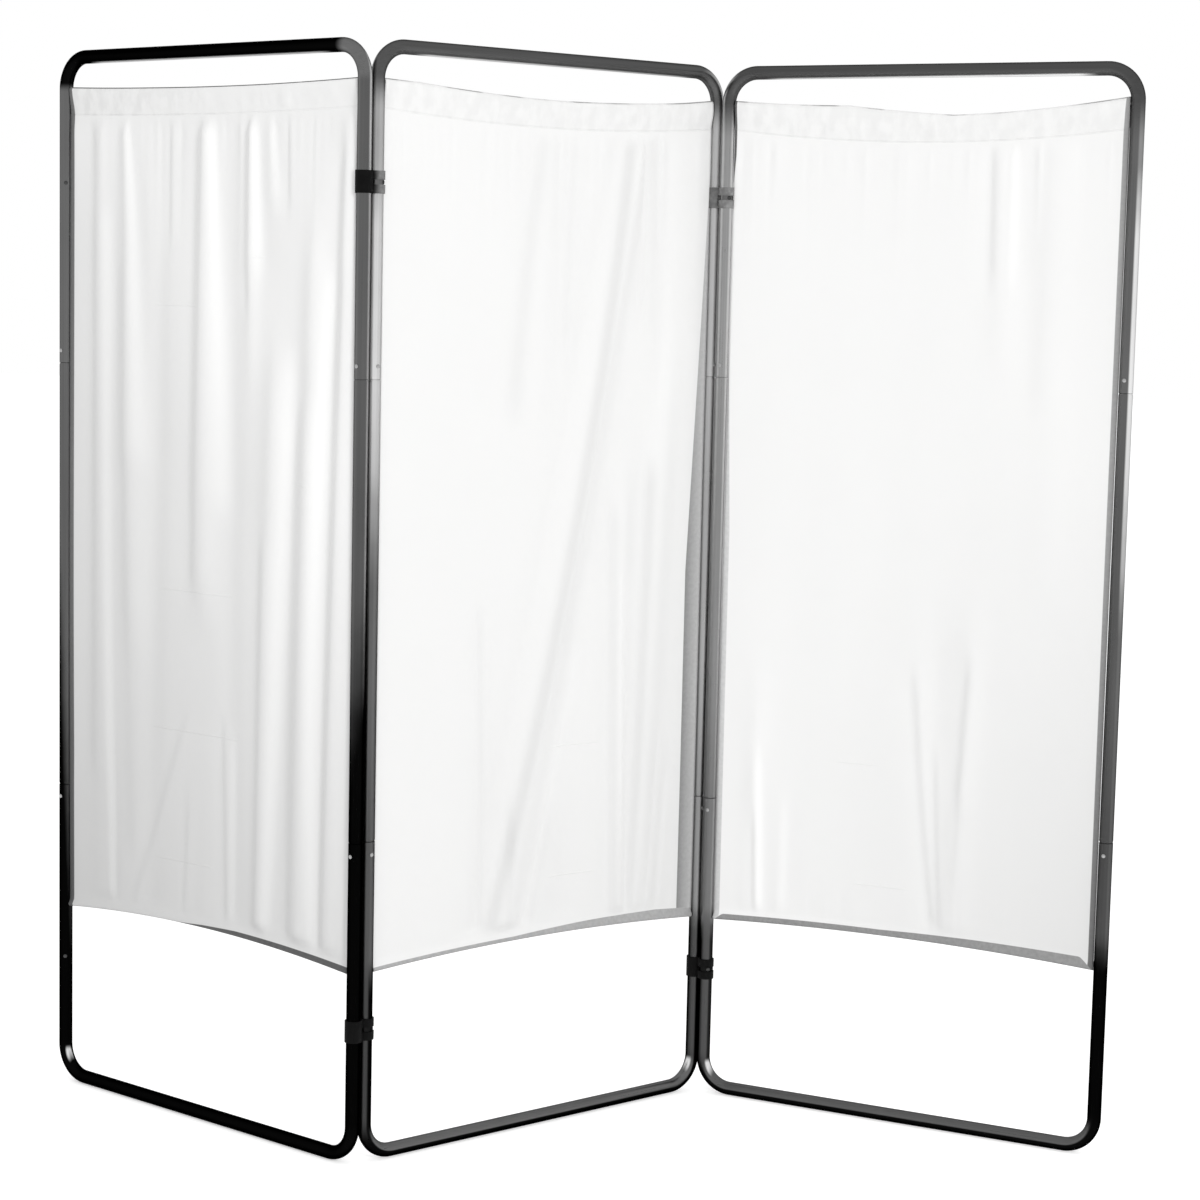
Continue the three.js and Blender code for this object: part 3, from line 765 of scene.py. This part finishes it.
class HungCloth:
    """The shape of one cloth: rows from the hem flap, round both casings, to the heading flap."""

    ROWS = {"hem": 4, "lower": 10, "upper": 14, "heading": 10}

    def __init__(self, leaf, seed):
        tube, sizes = bpy.context.scene.screen_frame, bpy.context.scene.screen_cloth
        self.leaf, self.seed, self.sizes = leaf, seed, sizes
        self.start = tube.tube_diameter / 2 + sizes.side_gap
        self.width = SPACING - 2 * self.start
        self.casing = tube.rod_diameter / 2 + sizes.rod_play + sizes.thickness / 2
        web = sizes.rows
        below = [(part, i / self.ROWS[part]) for part in ("hem", "lower")
                 for i in range(self.ROWS[part])]
        above = [(part, (i + 1) / self.ROWS[part]) for part in ("upper", "heading")
                 for i in range(self.ROWS[part])]
        self.parts = below + [("web", i / web) for i in range(web + 1)] + above

    def run_lengths(self):
        """How far along the cloth each of its rows is."""
        turn = math.pi * self.casing
        middle = SPACING / 2
        web = rod_height(self.leaf, "top", middle) - rod_height(self.leaf, "bottom", middle)
        starts, total = {}, 0
        for part, size in (("hem", self.sizes.hem_depth), ("lower", turn), ("web", web),
                           ("upper", turn), ("heading", self.sizes.casing_depth)):
            starts[part] = (total, size)
            total += size
        self.edge = starts["lower"][0] + turn / 2
        self.seam = starts["web"][0] + web + self.casing - self.sizes.casing_depth
        return np.array([starts[part][0] + starts[part][1] * along for part, along in self.parts])

    def upper_edge(self, across):
        """How high the heading stands, across the cloth."""
        rod = rod_height(self.leaf, "top", self.start + self.width * across)
        return rod + self.casing + np.interp(across, *zip(*STANDS[self.leaf]))

    def places(self, across, row):
        """Every vertex in its leaf's frame."""
        sizes, casing = self.sizes, self.casing
        x = self.start + self.width * across
        low = rod_height(self.leaf, "bottom", x)
        high = rod_height(self.leaf, "top", x)
        hem_seam = low - casing + sizes.hem_depth
        top_seam = high + casing - sizes.casing_depth
        part = np.array([name for name, _ in self.parts])[row]
        along = np.array([way for _, way in self.parts])[row]
        turn = math.pi * along
        slack = sizes.thickness * FLAP_SLACK

        z_web = low + (high - low) * along
        down = np.clip((top_seam - z_web) / (top_seam - hem_seam), 0, 1)
        inside = smooth_step(down * SEAM_EASE) * smooth_step((1 - down) * HEM_EASE)
        in_heading = np.clip((z_web - top_seam) / (high - top_seam), 0, 1)
        ruffle = sizes.ruffle_depth * np.sin(math.pi * in_heading) * self.ruffles(across, z_web)
        front = (smooth_step((hem_seam - z_web) / (hem_seam - low))
                 + smooth_step((z_web - top_seam) / (high - top_seam)))
        y_web = -casing * front - self.shift(across, down) * inside - ruffle

        shapes = {
            "hem": (slack + (casing - slack) * smooth_step(along),
                    hem_seam - (hem_seam - low) * along),
            "lower": (casing * np.cos(turn), low - casing * np.sin(turn)),
            "web": (y_web, z_web),
            "upper": (-casing * np.cos(turn),
                      high + (self.upper_edge(across) - high) * np.sin(turn)),
            "heading": (slack + (casing - slack) * smooth_step(1 - along),
                        high - (high - top_seam) * along),
        }
        masks = [part == name for name in shapes]
        y, z = [np.select(masks, forms) for forms in zip(*shapes.values())]
        # Lines of painted shade and highlight along the creases, for the material
        self.lines = np.where(part == "web", inside * crease_shift(self.leaf, across, down)[1], 0)
        return np.stack([x, y, z], axis=1)

    def ruffles(self, across, height):
        """Slanting gathers in the front of the heading, which only stand forwards."""
        rng = np.random.default_rng(self.seed + RUFFLE_SEEDS)
        gathers = np.zeros_like(across)
        for _ in range(RUFFLES):
            lean = rng.uniform(-0.8, 0.4) * (height - HEIGHT) / self.width
            offset = (across - rng.uniform(0.01, 0.99) - lean) / rng.uniform(0.004, 0.015)
            gathers += rng.uniform(0.3, 1) * np.exp(-offset ** 2)
        return gathers

    def shift(self, across, down):
        """How far the web stands forwards of its leaf."""
        sizes = self.sizes
        rng = np.random.default_rng(self.seed)
        return (sizes.fold_depth * fold_shift(self.leaf, across, down)
                + sizes.crease_depth * crease_shift(self.leaf, across, down)[0]
                + sizes.pucker_depth * pucker_shift(across, down, rng)
                + sizes.billow * np.sin(math.pi * down)
                * (1 + RIPPLE_SHARE * ripple_shift(across, down, rng)))


# Builders

HINGE_TURN = math.radians(45)  # how far aside from the front a hinge rivet faces
CLIP_SWING = math.radians(90)  # how far a clip turns each way from there


class SCREEN_OT_bows(bpy.types.Operator):
    """Bend the six bows, one master copied to both ends of each leaf"""
    bl_idname = "screen.bows"
    bl_label = "Bows"

    def execute(self, context):
        sizes = context.scene.screen_frame
        radius = sizes.tube_diameter / 2
        mouth, mouth_radius = BOW_DEPTH - sizes.mouth_roll, radius - sizes.mouth_roll
        bend_level = radius + sizes.bend_radius
        master = start_ring("bow", mouth_radius, sizes.tube_sides, (0, 0, BOW_DEPTH))
        grow(((mouth, radius), (bend_level, radius)), BOW_DEPTH, mouth_radius)
        bpy.ops.mesh.spin(steps=sizes.bend_steps, angle=math.pi / 2,
                          center=(sizes.bend_radius, 0, bend_level), axis=(0, 1, 0))
        extrude((SPACING - 2 * sizes.bend_radius, 0, 0))
        bpy.ops.mesh.spin(steps=sizes.bend_steps, angle=math.pi / 2,
                          center=(SPACING - sizes.bend_radius, 0, bend_level), axis=(0, 1, 0))
        grow(((mouth, radius), (BOW_DEPTH, mouth_radius)), bend_level, radius, SPACING)
        settle(master)
        apply_modifier(master, "SOLIDIFY", thickness=sizes.tube_wall, offset=-1)
        over = Matrix.Translation((SPACING / 2, 0, HEIGHT / 2)) @ Matrix.Rotation(math.pi, 4, "Y")
        over = over @ Matrix.Translation((-SPACING / 2, 0, -HEIGHT / 2))
        for leaf in LEAVES:
            polish = TubeFinish(leaf).owner
            for end, way in (("top", over), ("bottom", Matrix.Identity(4))):
                piece = copy_of(master, f"{leaf}_{end}_bow_tube", placing(leaf) @ way)
                dress(piece, leaf, "tube", polish, f"{leaf}_{end}_bow")
        discard(master)
        return {"FINISHED"}


class SCREEN_OT_side_tubes(bpy.types.Operator):
    """Draw the six side tubes, their ends narrowed to plug into the bows"""
    bl_idname = "screen.side_tubes"
    bl_label = "Side tubes"

    KNEE_SHARE = 0.4  # how far up its shoulder a tube begins to widen fast

    def execute(self, context):
        sizes = context.scene.screen_frame
        radius = sizes.tube_diameter / 2
        plug = radius - sizes.tube_wall
        foot = BOW_DEPTH - sizes.swage_depth
        run = TOP_JOINT - BOW_DEPTH
        step, knee = sizes.swage_step, sizes.swage_step * self.KNEE_SHARE
        eased = plug + sizes.swage_ease
        profile = ((BOW_DEPTH, plug), (BOW_DEPTH + knee, eased), (BOW_DEPTH + step, radius),
                   (BOW_DEPTH + run / 2, radius),
                   (TOP_JOINT - step, radius), (TOP_JOINT - knee, eased), (TOP_JOINT, plug),
                   (TOP_JOINT + sizes.swage_depth, plug))
        master = start_ring("side_tube", plug, sizes.tube_sides, (0, 0, foot))
        grow(profile, foot, plug)
        settle(master)
        apply_modifier(master, "SOLIDIFY", thickness=sizes.tube_wall, offset=-1)
        for leaf in LEAVES:
            for side, x in zip(SIDES, (0, SPACING)):
                place = placing(leaf) @ Matrix.Translation((x, 0, 0))
                piece = copy_of(master, f"{leaf}_{side}_upright", place)
                dress(piece, leaf, "tube", bpy.data.materials[f"{leaf}_tube"],
                      f"{leaf}_side_tube_{side}")
        discard(master)
        return {"FINISHED"}


class SCREEN_OT_rivets(bpy.types.Operator):
    """Dome the rivets of the tube joints and of the hinge windows"""
    bl_idname = "screen.rivets"
    bl_label = "Rivets"

    def execute(self, context):
        scene = context.scene
        master = self.head(scene.screen_fittings, scene.screen_frame.tube_diameter / 2)
        bright = metal_finish("rivet_metal", scene.screen_finish.rivet_grey)
        dull = metal_finish("hinge_rivet_metal", scene.screen_finish.hinge_grey)
        for leaf in LEAVES:
            for end in ENDS:
                for side, x in zip(SIDES, (0, SPACING)):
                    self.fit(master, leaf, f"{leaf}_rivet_{end}_{side}", x, 0, bright)
                self.fit(master, leaf, f"{leaf}_hinge_rivet_{end}", 0, HINGE_TURN, dull)
        discard(master)
        return {"FINISHED"}

    def head(self, sizes, radius):
        """A head on the Z axis, at the height where it sits on a tube's curve."""
        seat, width = radius - sizes.rivet_sink, sizes.rivet_width / 2
        rim = seat + sizes.rivet_rim
        clear_selection()
        bpy.ops.mesh.primitive_cylinder_add(vertices=sizes.rivet_sides, radius=width,
                                            depth=sizes.rivet_rim,
                                            location=(0, 0, (seat + rim) / 2))
        piece = start_piece("rivet")
        edit_all(piece)
        bpy.ops.mesh.select_all(action="DESELECT")
        bpy.ops.object.mode_set(mode="OBJECT")
        for face in piece.data.polygons:
            face.select = face.normal.z > 0.9
        bpy.ops.object.mode_set(mode="EDIT")
        bpy.ops.mesh.select_mode(type="FACE")
        step = math.pi / 2 / (sizes.dome_rings + 0.6)  # short of the pole, where a small face stays
        bends = [step * ring for ring in range(1, sizes.dome_rings + 1)]
        grow([(rim + sizes.rivet_dome * math.sin(bend), width * math.cos(bend))
              for bend in bends], rim, width)
        return settle(piece, 50)

    def fit(self, master, leaf, node, x, turn, metal):
        """Seats a head on its upright, facing forwards or turned aside from there."""
        place = placing(leaf) @ Matrix.Translation((x, 0, middle_of(node).z))
        place = place @ Matrix.Rotation(turn, 4, "Z") @ Matrix.Rotation(math.pi / 2, 4, "X")
        dress(copy_of(master, f"{node}_head", place), leaf, "rivet", metal, node)


class SCREEN_OT_rods(bpy.types.Operator):
    """Spring the curtain rods between the uprights, each bowed as its node is"""
    bl_idname = "screen.rods"
    bl_label = "Rods"

    def execute(self, context):
        sizes = context.scene.screen_frame
        finish = metal_finish("rod_steel", context.scene.screen_finish.rod_grey,
                              (700, 700, 60), 3, 1.25, (0.28, 0.14), 0.00002)
        run = SPACING - 2 * sizes.rod_inset
        step = run / sizes.rod_steps
        for leaf in LEAVES:
            for end in ENDS:
                x = sizes.rod_inset
                level = rod_height(leaf, end, x)
                piece = start_ring(f"{leaf}_{end}_curtain_rod", sizes.rod_diameter / 2,
                                   sizes.rod_sides, (x, 0, level), (0, math.pi / 2, 0))
                bpy.ops.mesh.edge_face_add()
                for _ in range(sizes.rod_steps):
                    x += step
                    extrude((step, 0, rod_height(leaf, end, x) - level))
                    level = rod_height(leaf, end, x)
                settle(piece)
                piece.data.transform(placing(leaf))
                dress(piece, leaf, "rod", finish, f"{leaf}_{end}_rod")
        return {"FINISHED"}


def rod_height(leaf, end, x):
    """Height of a bowed rod's axis at a place across its leaf."""
    sizes = bpy.context.scene.screen_frame
    radius = sizes.rod_diameter / 2

    def rise(place):
        across = (place - sizes.tube_diameter / 2) / (SPACING - sizes.tube_diameter)
        return 4 * across * (1 - across)

    low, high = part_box(f"{leaf}_{end}_rod")
    end_rise = rise(sizes.rod_inset)
    bow = (high.z - low.z - 2 * radius) / (1 - end_rise)
    if end == "top":
        return high.z - radius + bow * (end_rise - rise(x))
    return low.z + radius - bow * (end_rise - rise(x))


class SCREEN_OT_clips(bpy.types.Operator):
    """Mould the hinge clips: two eyes on a waist, with a window for the stop rivet"""
    bl_idname = "screen.clips"
    bl_label = "Hinge clips"

    WAIST_SHARE = 0.8  # how much of the way between the eyes' axes the waist's block fills
    BORE_SHARE = 1.2  # how long the tool of a bore is, in heights of the clip

    def execute(self, context):
        self.sizes = context.scene.screen_fittings
        self.radius = context.scene.screen_frame.tube_diameter / 2
        self.outer = self.radius + self.sizes.clip_gap + self.sizes.clip_wall
        self.spacing = (upright("left_leaf", "right") - upright("middle_leaf", "left")).length
        master = self.mould()
        for name, first, second in (("left", ("left_leaf", "right"), ("middle_leaf", "left")),
                                    ("right", ("middle_leaf", "right"), ("right_leaf", "left"))):
            start, end = upright(*first), upright(*second)
            turn = math.atan2(end.y - start.y, end.x - start.x)
            plastic = clip_finish(name)
            for level in ENDS:
                node = f"{name}_hinge_clip_{level}"
                lift = Vector((0, 0, middle_of(node).z))
                place = Matrix.Translation(start + lift) @ Matrix.Rotation(turn, 4, "Z")
                dress(copy_of(master, f"{node}_moulding", place), f"{name}_clips", "clip", plastic,
                      node)
        discard(master)
        return {"FINISHED"}

    def mould(self):
        """A clip along X, its first eye on the Z axis."""
        sizes, spacing, bore = self.sizes, self.spacing, self.radius + self.sizes.clip_gap
        clip = self.cylinder("clip", self.outer, 0)
        self.join(clip, self.cylinder("eye", self.outer, spacing), "UNION")
        clear_selection()
        bpy.ops.mesh.primitive_cube_add(size=1, location=(spacing / 2, 0, 0))
        block = start_piece("waist")
        block.scale = (spacing * self.WAIST_SHARE, sizes.clip_waist, sizes.clip_height)
        self.join(clip, block, "UNION")
        for x in (0, spacing):
            self.join(clip, self.cylinder("bore", bore, x, self.BORE_SHARE), "DIFFERENCE")
        self.join(clip, self.window(), "DIFFERENCE")
        apply_modifier(clip, "BEVEL", width=sizes.clip_rounding, segments=2, limit_method="ANGLE",
                       angle_limit=math.radians(40))
        settle(clip, 40)
        half = spacing / 2
        store(clip.data, "along_clip", [(vertex.co.x - half) / (half + self.outer)
                                        for vertex in clip.data.vertices])
        return clip

    def cylinder(self, name, radius, x, share_of_height=1):
        clear_selection()
        bpy.ops.mesh.primitive_cylinder_add(vertices=self.sizes.clip_sides, radius=radius,
                                            depth=self.sizes.clip_height * share_of_height,
                                            location=(x, 0, 0))
        return start_piece(name)

    def join(self, target, tool, operation):
        apply_modifier(target, "BOOLEAN", object=tool, operation=operation, solver="EXACT")
        discard(tool)

    def window(self):
        """The part of a ring in which the rivet's head travels, from stop to stop."""
        sizes, x = self.sizes, self.spacing
        inner, reach = self.radius - sizes.clip_wall / 2, self.outer + sizes.clip_wall
        half_head = math.asin((sizes.rivet_width / 2 + sizes.window_play) / self.radius)
        half = CLIP_SWING + half_head
        first = -HINGE_TURN - half
        clear_selection()
        bpy.ops.mesh.primitive_plane_add(size=1, location=(0, 0, 0))
        tool = start_piece("window")
        corners = [(r, z) for z in (-sizes.window_height / 2, sizes.window_height / 2)
                   for r in (inner, reach)]
        for vertex, (r, z) in zip(tool.data.vertices, corners):
            vertex.co = (x + r * math.cos(first), r * math.sin(first), z)
        edit_all(tool)
        bpy.ops.mesh.spin(steps=sizes.window_steps, angle=-2 * half, center=(x, 0, 0),
                          axis=(0, 0, 1))
        bpy.ops.object.mode_set(mode="OBJECT")
        return settle(tool)


class SCREEN_OT_cloths(bpy.types.Operator):
    """Hang the three cloths, each with a casing round its rods"""
    bl_idname = "screen.cloths"
    bl_label = "Cloths"

    def execute(self, context):
        for seed, leaf in enumerate(LEAVES):
            cloth = HungCloth(leaf, seed)
            piece, flat = self.hang(context.scene.screen_cloth, cloth)
            dress(piece, leaf, "cloth", ClothFinish(cloth).owner, f"{leaf}_cloth")
        return {"FINISHED"}

    def hang(self, sizes, cloth):
        """Shapes a grid as a cloth, with its own length and width as its UV map."""
        clear_selection()
        last = len(cloth.parts) - 1
        bpy.ops.mesh.primitive_grid_add(x_subdivisions=sizes.columns, y_subdivisions=last, size=2)
        piece = start_piece(f"{cloth.leaf}_hung_cloth")
        mesh = piece.data
        grid = np.empty((len(mesh.vertices), 3))
        mesh.vertices.foreach_get("co", grid.reshape(-1))
        across = (grid[:, 0] + 1) / 2
        row = np.rint((grid[:, 1] + 1) / 2 * last).astype(int)
        places = cloth.places(across, row)
        mesh.vertices.foreach_set("co", places.ravel())
        runs = cloth.run_lengths()
        flat = (cloth.width * FOLD_ALLOWANCE, float(runs[-1]))
        corners = np.empty(len(mesh.loops), int)
        mesh.loops.foreach_get("vertex_index", corners)
        uv = np.stack([across[corners] * cloth.width, runs[row[corners]]], axis=1)
        mesh.uv_layers[0].uv.foreach_set("vector", uv.ravel())
        store(mesh, "lower_band", np.interp(across, *zip(*LOWER_BANDS[cloth.leaf])))
        # The creases' lines of painted shade and highlight
        store(mesh, "lines", cloth.lines)
        store(mesh, "below_edge", cloth.upper_edge(across) - places[:, 2])
        mesh.transform(placing(cloth.leaf))
        edit_all(piece)
        bpy.ops.mesh.normals_make_consistent(inside=False)
        bpy.ops.object.mode_set(mode="OBJECT")
        bpy.ops.object.shade_smooth()
        apply_modifier(piece, "SOLIDIFY", thickness=sizes.thickness, offset=0)
        return piece, flat


# Painted light and shade: how light each cloth is at its top left, top right, lower left and lower
# right, from where down it darkens, and how grey the band along its lower edge is
CLOTH_TONES = {
    "left_leaf": ((0.966, 1.159, 0.695, 0.811), 0.0, 0.095),
    "middle_leaf": ((0.869, 0.869, 0.879, 0.840), 0.5, 0.36),
    "right_leaf": ((0.946, 0.869, 1.0, 0.763), 0.4, 0.26),
}

# How much the creases' lines of painted shade and highlight, the painted shade in the gathers of the
# heading and its seam darken each cloth
LINE_SHADES = {
    "left_leaf": (0.012, 0.07, 0.055),
    "middle_leaf": (0.11, 0.05, 0.03),
    "right_leaf": (0.03, 0.05, 0.03),
}

# How strongly the upper edge of each cloth is painted with a dark line of shade, and how broken that
# line is
RIMS = {"left_leaf": (0.92, 0.25), "middle_leaf": (0.6, 0.5), "right_leaf": (0.6, 0.55)}

# The strips of painted shade along a cloth's side edges, next to the uprights: which side, the full
# width, the greys at the inner border and at the edge, where down the cloth the strip comes to a point
# and where it is at its full width, and how light it still is at the foot
STRIPS = {
    "left_leaf": (("left", 0.011, 0.17, 0.14, -0.10, 0, 0.5),),
    "middle_leaf": (("right", 0.034, 0.22, 0.52, 0.04, 0.55, 1),),
    "right_leaf": (("left", 0.0045, 0.10, 0.14, 0.075, 0.03, 1),
                   ("left", 0.011, 0.62, 0.52, 0.25, 0.5, 1),
                   ("right", 0.010, 0.32, 0.24, -0.10, 0, 0.45)),
}

# Each press mark across a cloth: its height down the cloth, and where across it starts and ends
PRESS_MARKS = {
    "left_leaf": ((0.23, 0.30, 0.48), (0.58, 0.33, 0.61), (0.755, 0.30, 0.63), (0.92, 0.32, 0.54),
                  (0.17, 0.65, 0.71), (0.435, 0.79, 0.87)),
    "middle_leaf": ((0.76, 0.50, 0.69), (0.925, 0.51, 0.69)),
    "right_leaf": ((0.935, 0.37, 0.53), (0.78, 0.31, 0.44)),
}


class ClothFinish(Finish):
    """Plain-woven white cloth with stitched seams, press marks, a grey band along its lower edge, and
    painted light and shade.
    """

    THREAD, SEAM_LINE = 0.0011, 0.0022
    WEAVE_HEIGHT, MARK_HEIGHT, SEAM_DEPTH = 0.00006, 0.0004, 0.0005
    RIM_SHADE_REACH = (0.0012, 0.0022)  # how far below its edge the heading's dark line ends

    # Over what length the heading, the lower band and a strip begin, and how narrow the last two are
    # where they vanish
    HEADING_EASE, BINDING_EASE, STRIP_EASE = 0.003, 0.0004, 0.0012
    THIN_BINDING, THIN_STRIP = (0.0004, 0.0012), (0.0006, 0.0012)

    # How thick a press mark is, in shares of the cloth's height, and over what share of its width
    # it begins
    MARK_LINE, MARK_EASE = 0.0016, 0.03

    def __init__(self, cloth):
        super().__init__(bpy.data.materials.new(f"{cloth.leaf}_cloth"))
        self.cloth, self.leaf = cloth, cloth.leaf
        self.uv = self.add("ShaderNodeUVMap")
        self.across, self.along, _ = self.split(self.uv)
        self.share_across = self.across * (1 / cloth.width)
        self.share_down = (cloth.seam - self.along) * (1 / (cloth.seam - cloth.edge))
        self.gathered = self.noise(self.uv, (55, 32, 1), 3).rise(0.35, 0.65)
        self.mottled = self.noise(self.uv, (160, 160, 160), 3)
        self.seam_line = self.along.within(cloth.seam, cloth.seam, self.SEAM_LINE)
        white = tinted(bpy.context.scene.screen_finish.cloth_white)
        shade = self.with_edges(self.blend(self.tone(), grey(0), white))
        self.surface(Base_Color=shade, Roughness=0.92, Sheen_Weight=0.12, Sheen_Roughness=0.5,
                     Normal=self.bump(self.relief()))

    def tone(self):
        """How light the white cloth is, with painted light and shade over it, painted lines along its
        creases, the lines of its seams and a painted line of shade along its upper edge.
        """
        (top_left, top_right, low_left, low_right), dusk, _ = CLOTH_TONES[self.leaf]
        # Painted light and shade across the cloth, darker towards its foot
        top = mix(top_left, top_right, self.share_across)
        low = mix(low_left, low_right, self.share_across)
        cloudy = self.noise(self.uv, (5, 5, 5), 3)
        tone = mix(top, low, self.share_down.ramp(dusk, 1)) + 0.02 * cloudy - 0.01

        line_shade, heading_shade, seam_shade = LINE_SHADES[self.leaf]
        heading = self.along.rise(self.cloth.seam - self.HEADING_EASE, self.cloth.seam)
        stitches = 0.4 + 0.6 * self.gathered
        # A painted line of shade along the upper edge, broken into dashes
        strength, broken = RIMS[self.leaf]
        rim = 1 - self.attribute("below_edge").rise(*self.RIM_SHADE_REACH)
        dashes = self.noise(self.uv, (14, 1, 1), 3).rise(broken - 0.1, broken + 0.1)
        # Painted shade and highlight along the creases, painted shade in the heading's gathers, the
        # stitched seam and the painted line of shade along the upper edge
        return (tone * (1 - line_shade * self.attribute("lines"))
                * (1 - heading_shade * self.gathered * heading)
                * (1 - seam_shade * self.seam_line * stitches) * (1 - strength * rim * dashes))

    def with_edges(self, shade):
        """Adds the grey band along the lower edge and the strips of painted shade along the sides."""
        reach = self.attribute("lower_band")
        in_lower_band = 1 - (self.along - self.cloth.edge).rise(reach - self.BINDING_EASE,
                                                        reach + self.BINDING_EASE)
        in_lower_band = in_lower_band * reach.rise(*self.THIN_BINDING)
        lower_band_grey = CLOTH_TONES[self.leaf][2] * (0.75 + 0.5 * self.mottled)
        shade = self.blend(in_lower_band, shade, self.greyed(lower_band_grey))
        # Strips of painted shade along the sides
        for side, width, inner, outer, tip, full, foot in STRIPS[self.leaf]:
            inset = self.across if side == "left" else self.cloth.width - self.across
            border = width * self.share_down.ramp(tip, full)
            inside = 1 - inset.rise(border - self.STRIP_EASE, border)
            tone = mix(outer, inner, inset * (1 / width)) * (0.85 + 0.3 * self.mottled)
            tone = tone * mix(1, foot, self.share_down.ramp(0.45, 1))
            shade = self.blend(inside * border.rise(*self.THIN_STRIP) * (1 - in_lower_band), shade,
                               self.greyed(tone))
        return shade

    def relief(self):
        """The height of the weave, the press marks and the seam, in metres."""
        thread = 2 * math.pi / self.THREAD
        weave = (self.across * thread).wave() * (self.along * thread).wave()
        slub = self.noise(self.uv, (1800, 90, 1), 2)
        marks, ease = 0, self.MARK_EASE
        for level, begin, end in PRESS_MARKS[self.leaf]:
            mark = self.share_down.within(level, level, self.MARK_LINE)
            marks = marks + mark * self.share_across.within(begin + ease, end - ease, ease)
        return (self.WEAVE_HEIGHT * (0.6 * weave + 0.4 * slub) + self.MARK_HEIGHT * marks
                - self.SEAM_DEPTH * self.seam_line)


# Stage

class SCREEN_OT_stage(bpy.types.Operator):
    """Set the floor, the light and the camera"""
    bl_idname = "screen.stage"
    bl_label = "Stage"

    def execute(self, context):
        stage = context.scene.screen_stage
        self.floor(stage)
        sky = Finish(bpy.data.worlds.new("sky"))
        strength = mix(stage.ambient, 1, sky.seen())
        background = sky.add("ShaderNodeBackground", None,
                             {"Color": grey(1), "Strength": strength})
        context.scene.world = sky.show(background, "World")
        self.lamp(stage)
        data = bpy.data.cameras.new("camera")
        data.lens, data.sensor_width, data.clip_end = stage.lens, stage.sensor, stage.reach
        camera = bpy.data.objects.new("camera", data)
        context.scene.collection.objects.link(camera)
        camera.matrix_world = (Matrix.Translation(stage.eye)
                               @ Matrix.Rotation(math.pi / 2 - stage.pitch, 4, "X")
                               @ Matrix.Rotation(stage.roll, 4, "Z"))
        context.scene.camera = camera
        context.scene.view_settings.view_transform = "Standard"
        return {"FINISHED"}

    def floor(self, stage):
        """A pale floor that looks white and keeps the screen's shadow."""
        clear_selection()
        bpy.ops.mesh.primitive_plane_add(size=stage.floor_size, location=(0, 0, -stage.floor_drop))
        floor = start_piece("floor")
        finish = new_finish("floor_paint")
        paint = finish.add("ShaderNodeBsdfDiffuse", None, {"Color": grey(stage.floor_grey)})
        glow = finish.add("ShaderNodeEmission", None,
                          {"Color": grey(1), "Strength": finish.seen() * stage.floor_glow})
        floor.data.materials.append(finish.show(finish.add("ShaderNodeAddShader", None,
                                                           {0: paint, 1: glow})))

    def lamp(self, stage):
        data = bpy.data.lights.new("key", "AREA")
        data.shape, data.size, data.energy = "SQUARE", stage.lamp_size, stage.lamp_power
        lamp = bpy.data.objects.new("key", data)
        bpy.context.scene.collection.objects.link(lamp)
        lamp.visible_glossy = False
        place, aim = Vector(stage.lamp_place), Vector(stage.lamp_aim)
        lamp.location = place
        lamp.rotation_euler = (aim - place).to_track_quat("-Z", "Y").to_euler()


class SCREEN_PT_builder(bpy.types.Panel):
    bl_idname = "SCREEN_PT_builder"
    bl_label = "Ward Screen"
    bl_space_type = "VIEW_3D"
    bl_region_type = "UI"
    bl_category = "Ward Screen"

    def draw(self, context):
        scene, layout = context.scene, self.layout
        for group, kind in SETTINGS.items():
            box = layout.box()
            for name in kind.__annotations__:
                box.prop(getattr(scene, group), name)
        for builder in BUILDERS:
            layout.operator(builder.bl_idname)


SETTINGS = {"screen_frame": FrameSettings, "screen_fittings": FittingSettings,
            "screen_cloth": ClothSettings, "screen_finish": FinishSettings,
            "screen_stage": StageSettings}
BUILDERS = (SCREEN_OT_stage, SCREEN_OT_bows, SCREEN_OT_side_tubes, SCREEN_OT_rivets,
            SCREEN_OT_rods, SCREEN_OT_clips, SCREEN_OT_cloths)
CLASSES = (*SETTINGS.values(), *BUILDERS, SCREEN_PT_builder)


def register():
    for cls in CLASSES:
        bpy.utils.register_class(cls)
    for name, cls in SETTINGS.items():
        setattr(bpy.types.Scene, name, bpy.props.PointerProperty(type=cls))


def unregister():
    for name in SETTINGS:
        delattr(bpy.types.Scene, name)
    for cls in reversed(CLASSES):
        bpy.utils.unregister_class(cls)


def main():
    register()
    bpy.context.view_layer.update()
    bpy.ops.screen.stage()
    bpy.ops.screen.bows()
    bpy.ops.screen.side_tubes()
    bpy.ops.screen.rivets()
    bpy.ops.screen.rods()
    bpy.ops.screen.clips()
    bpy.ops.screen.cloths()


if __name__ == "__main__":
    main()
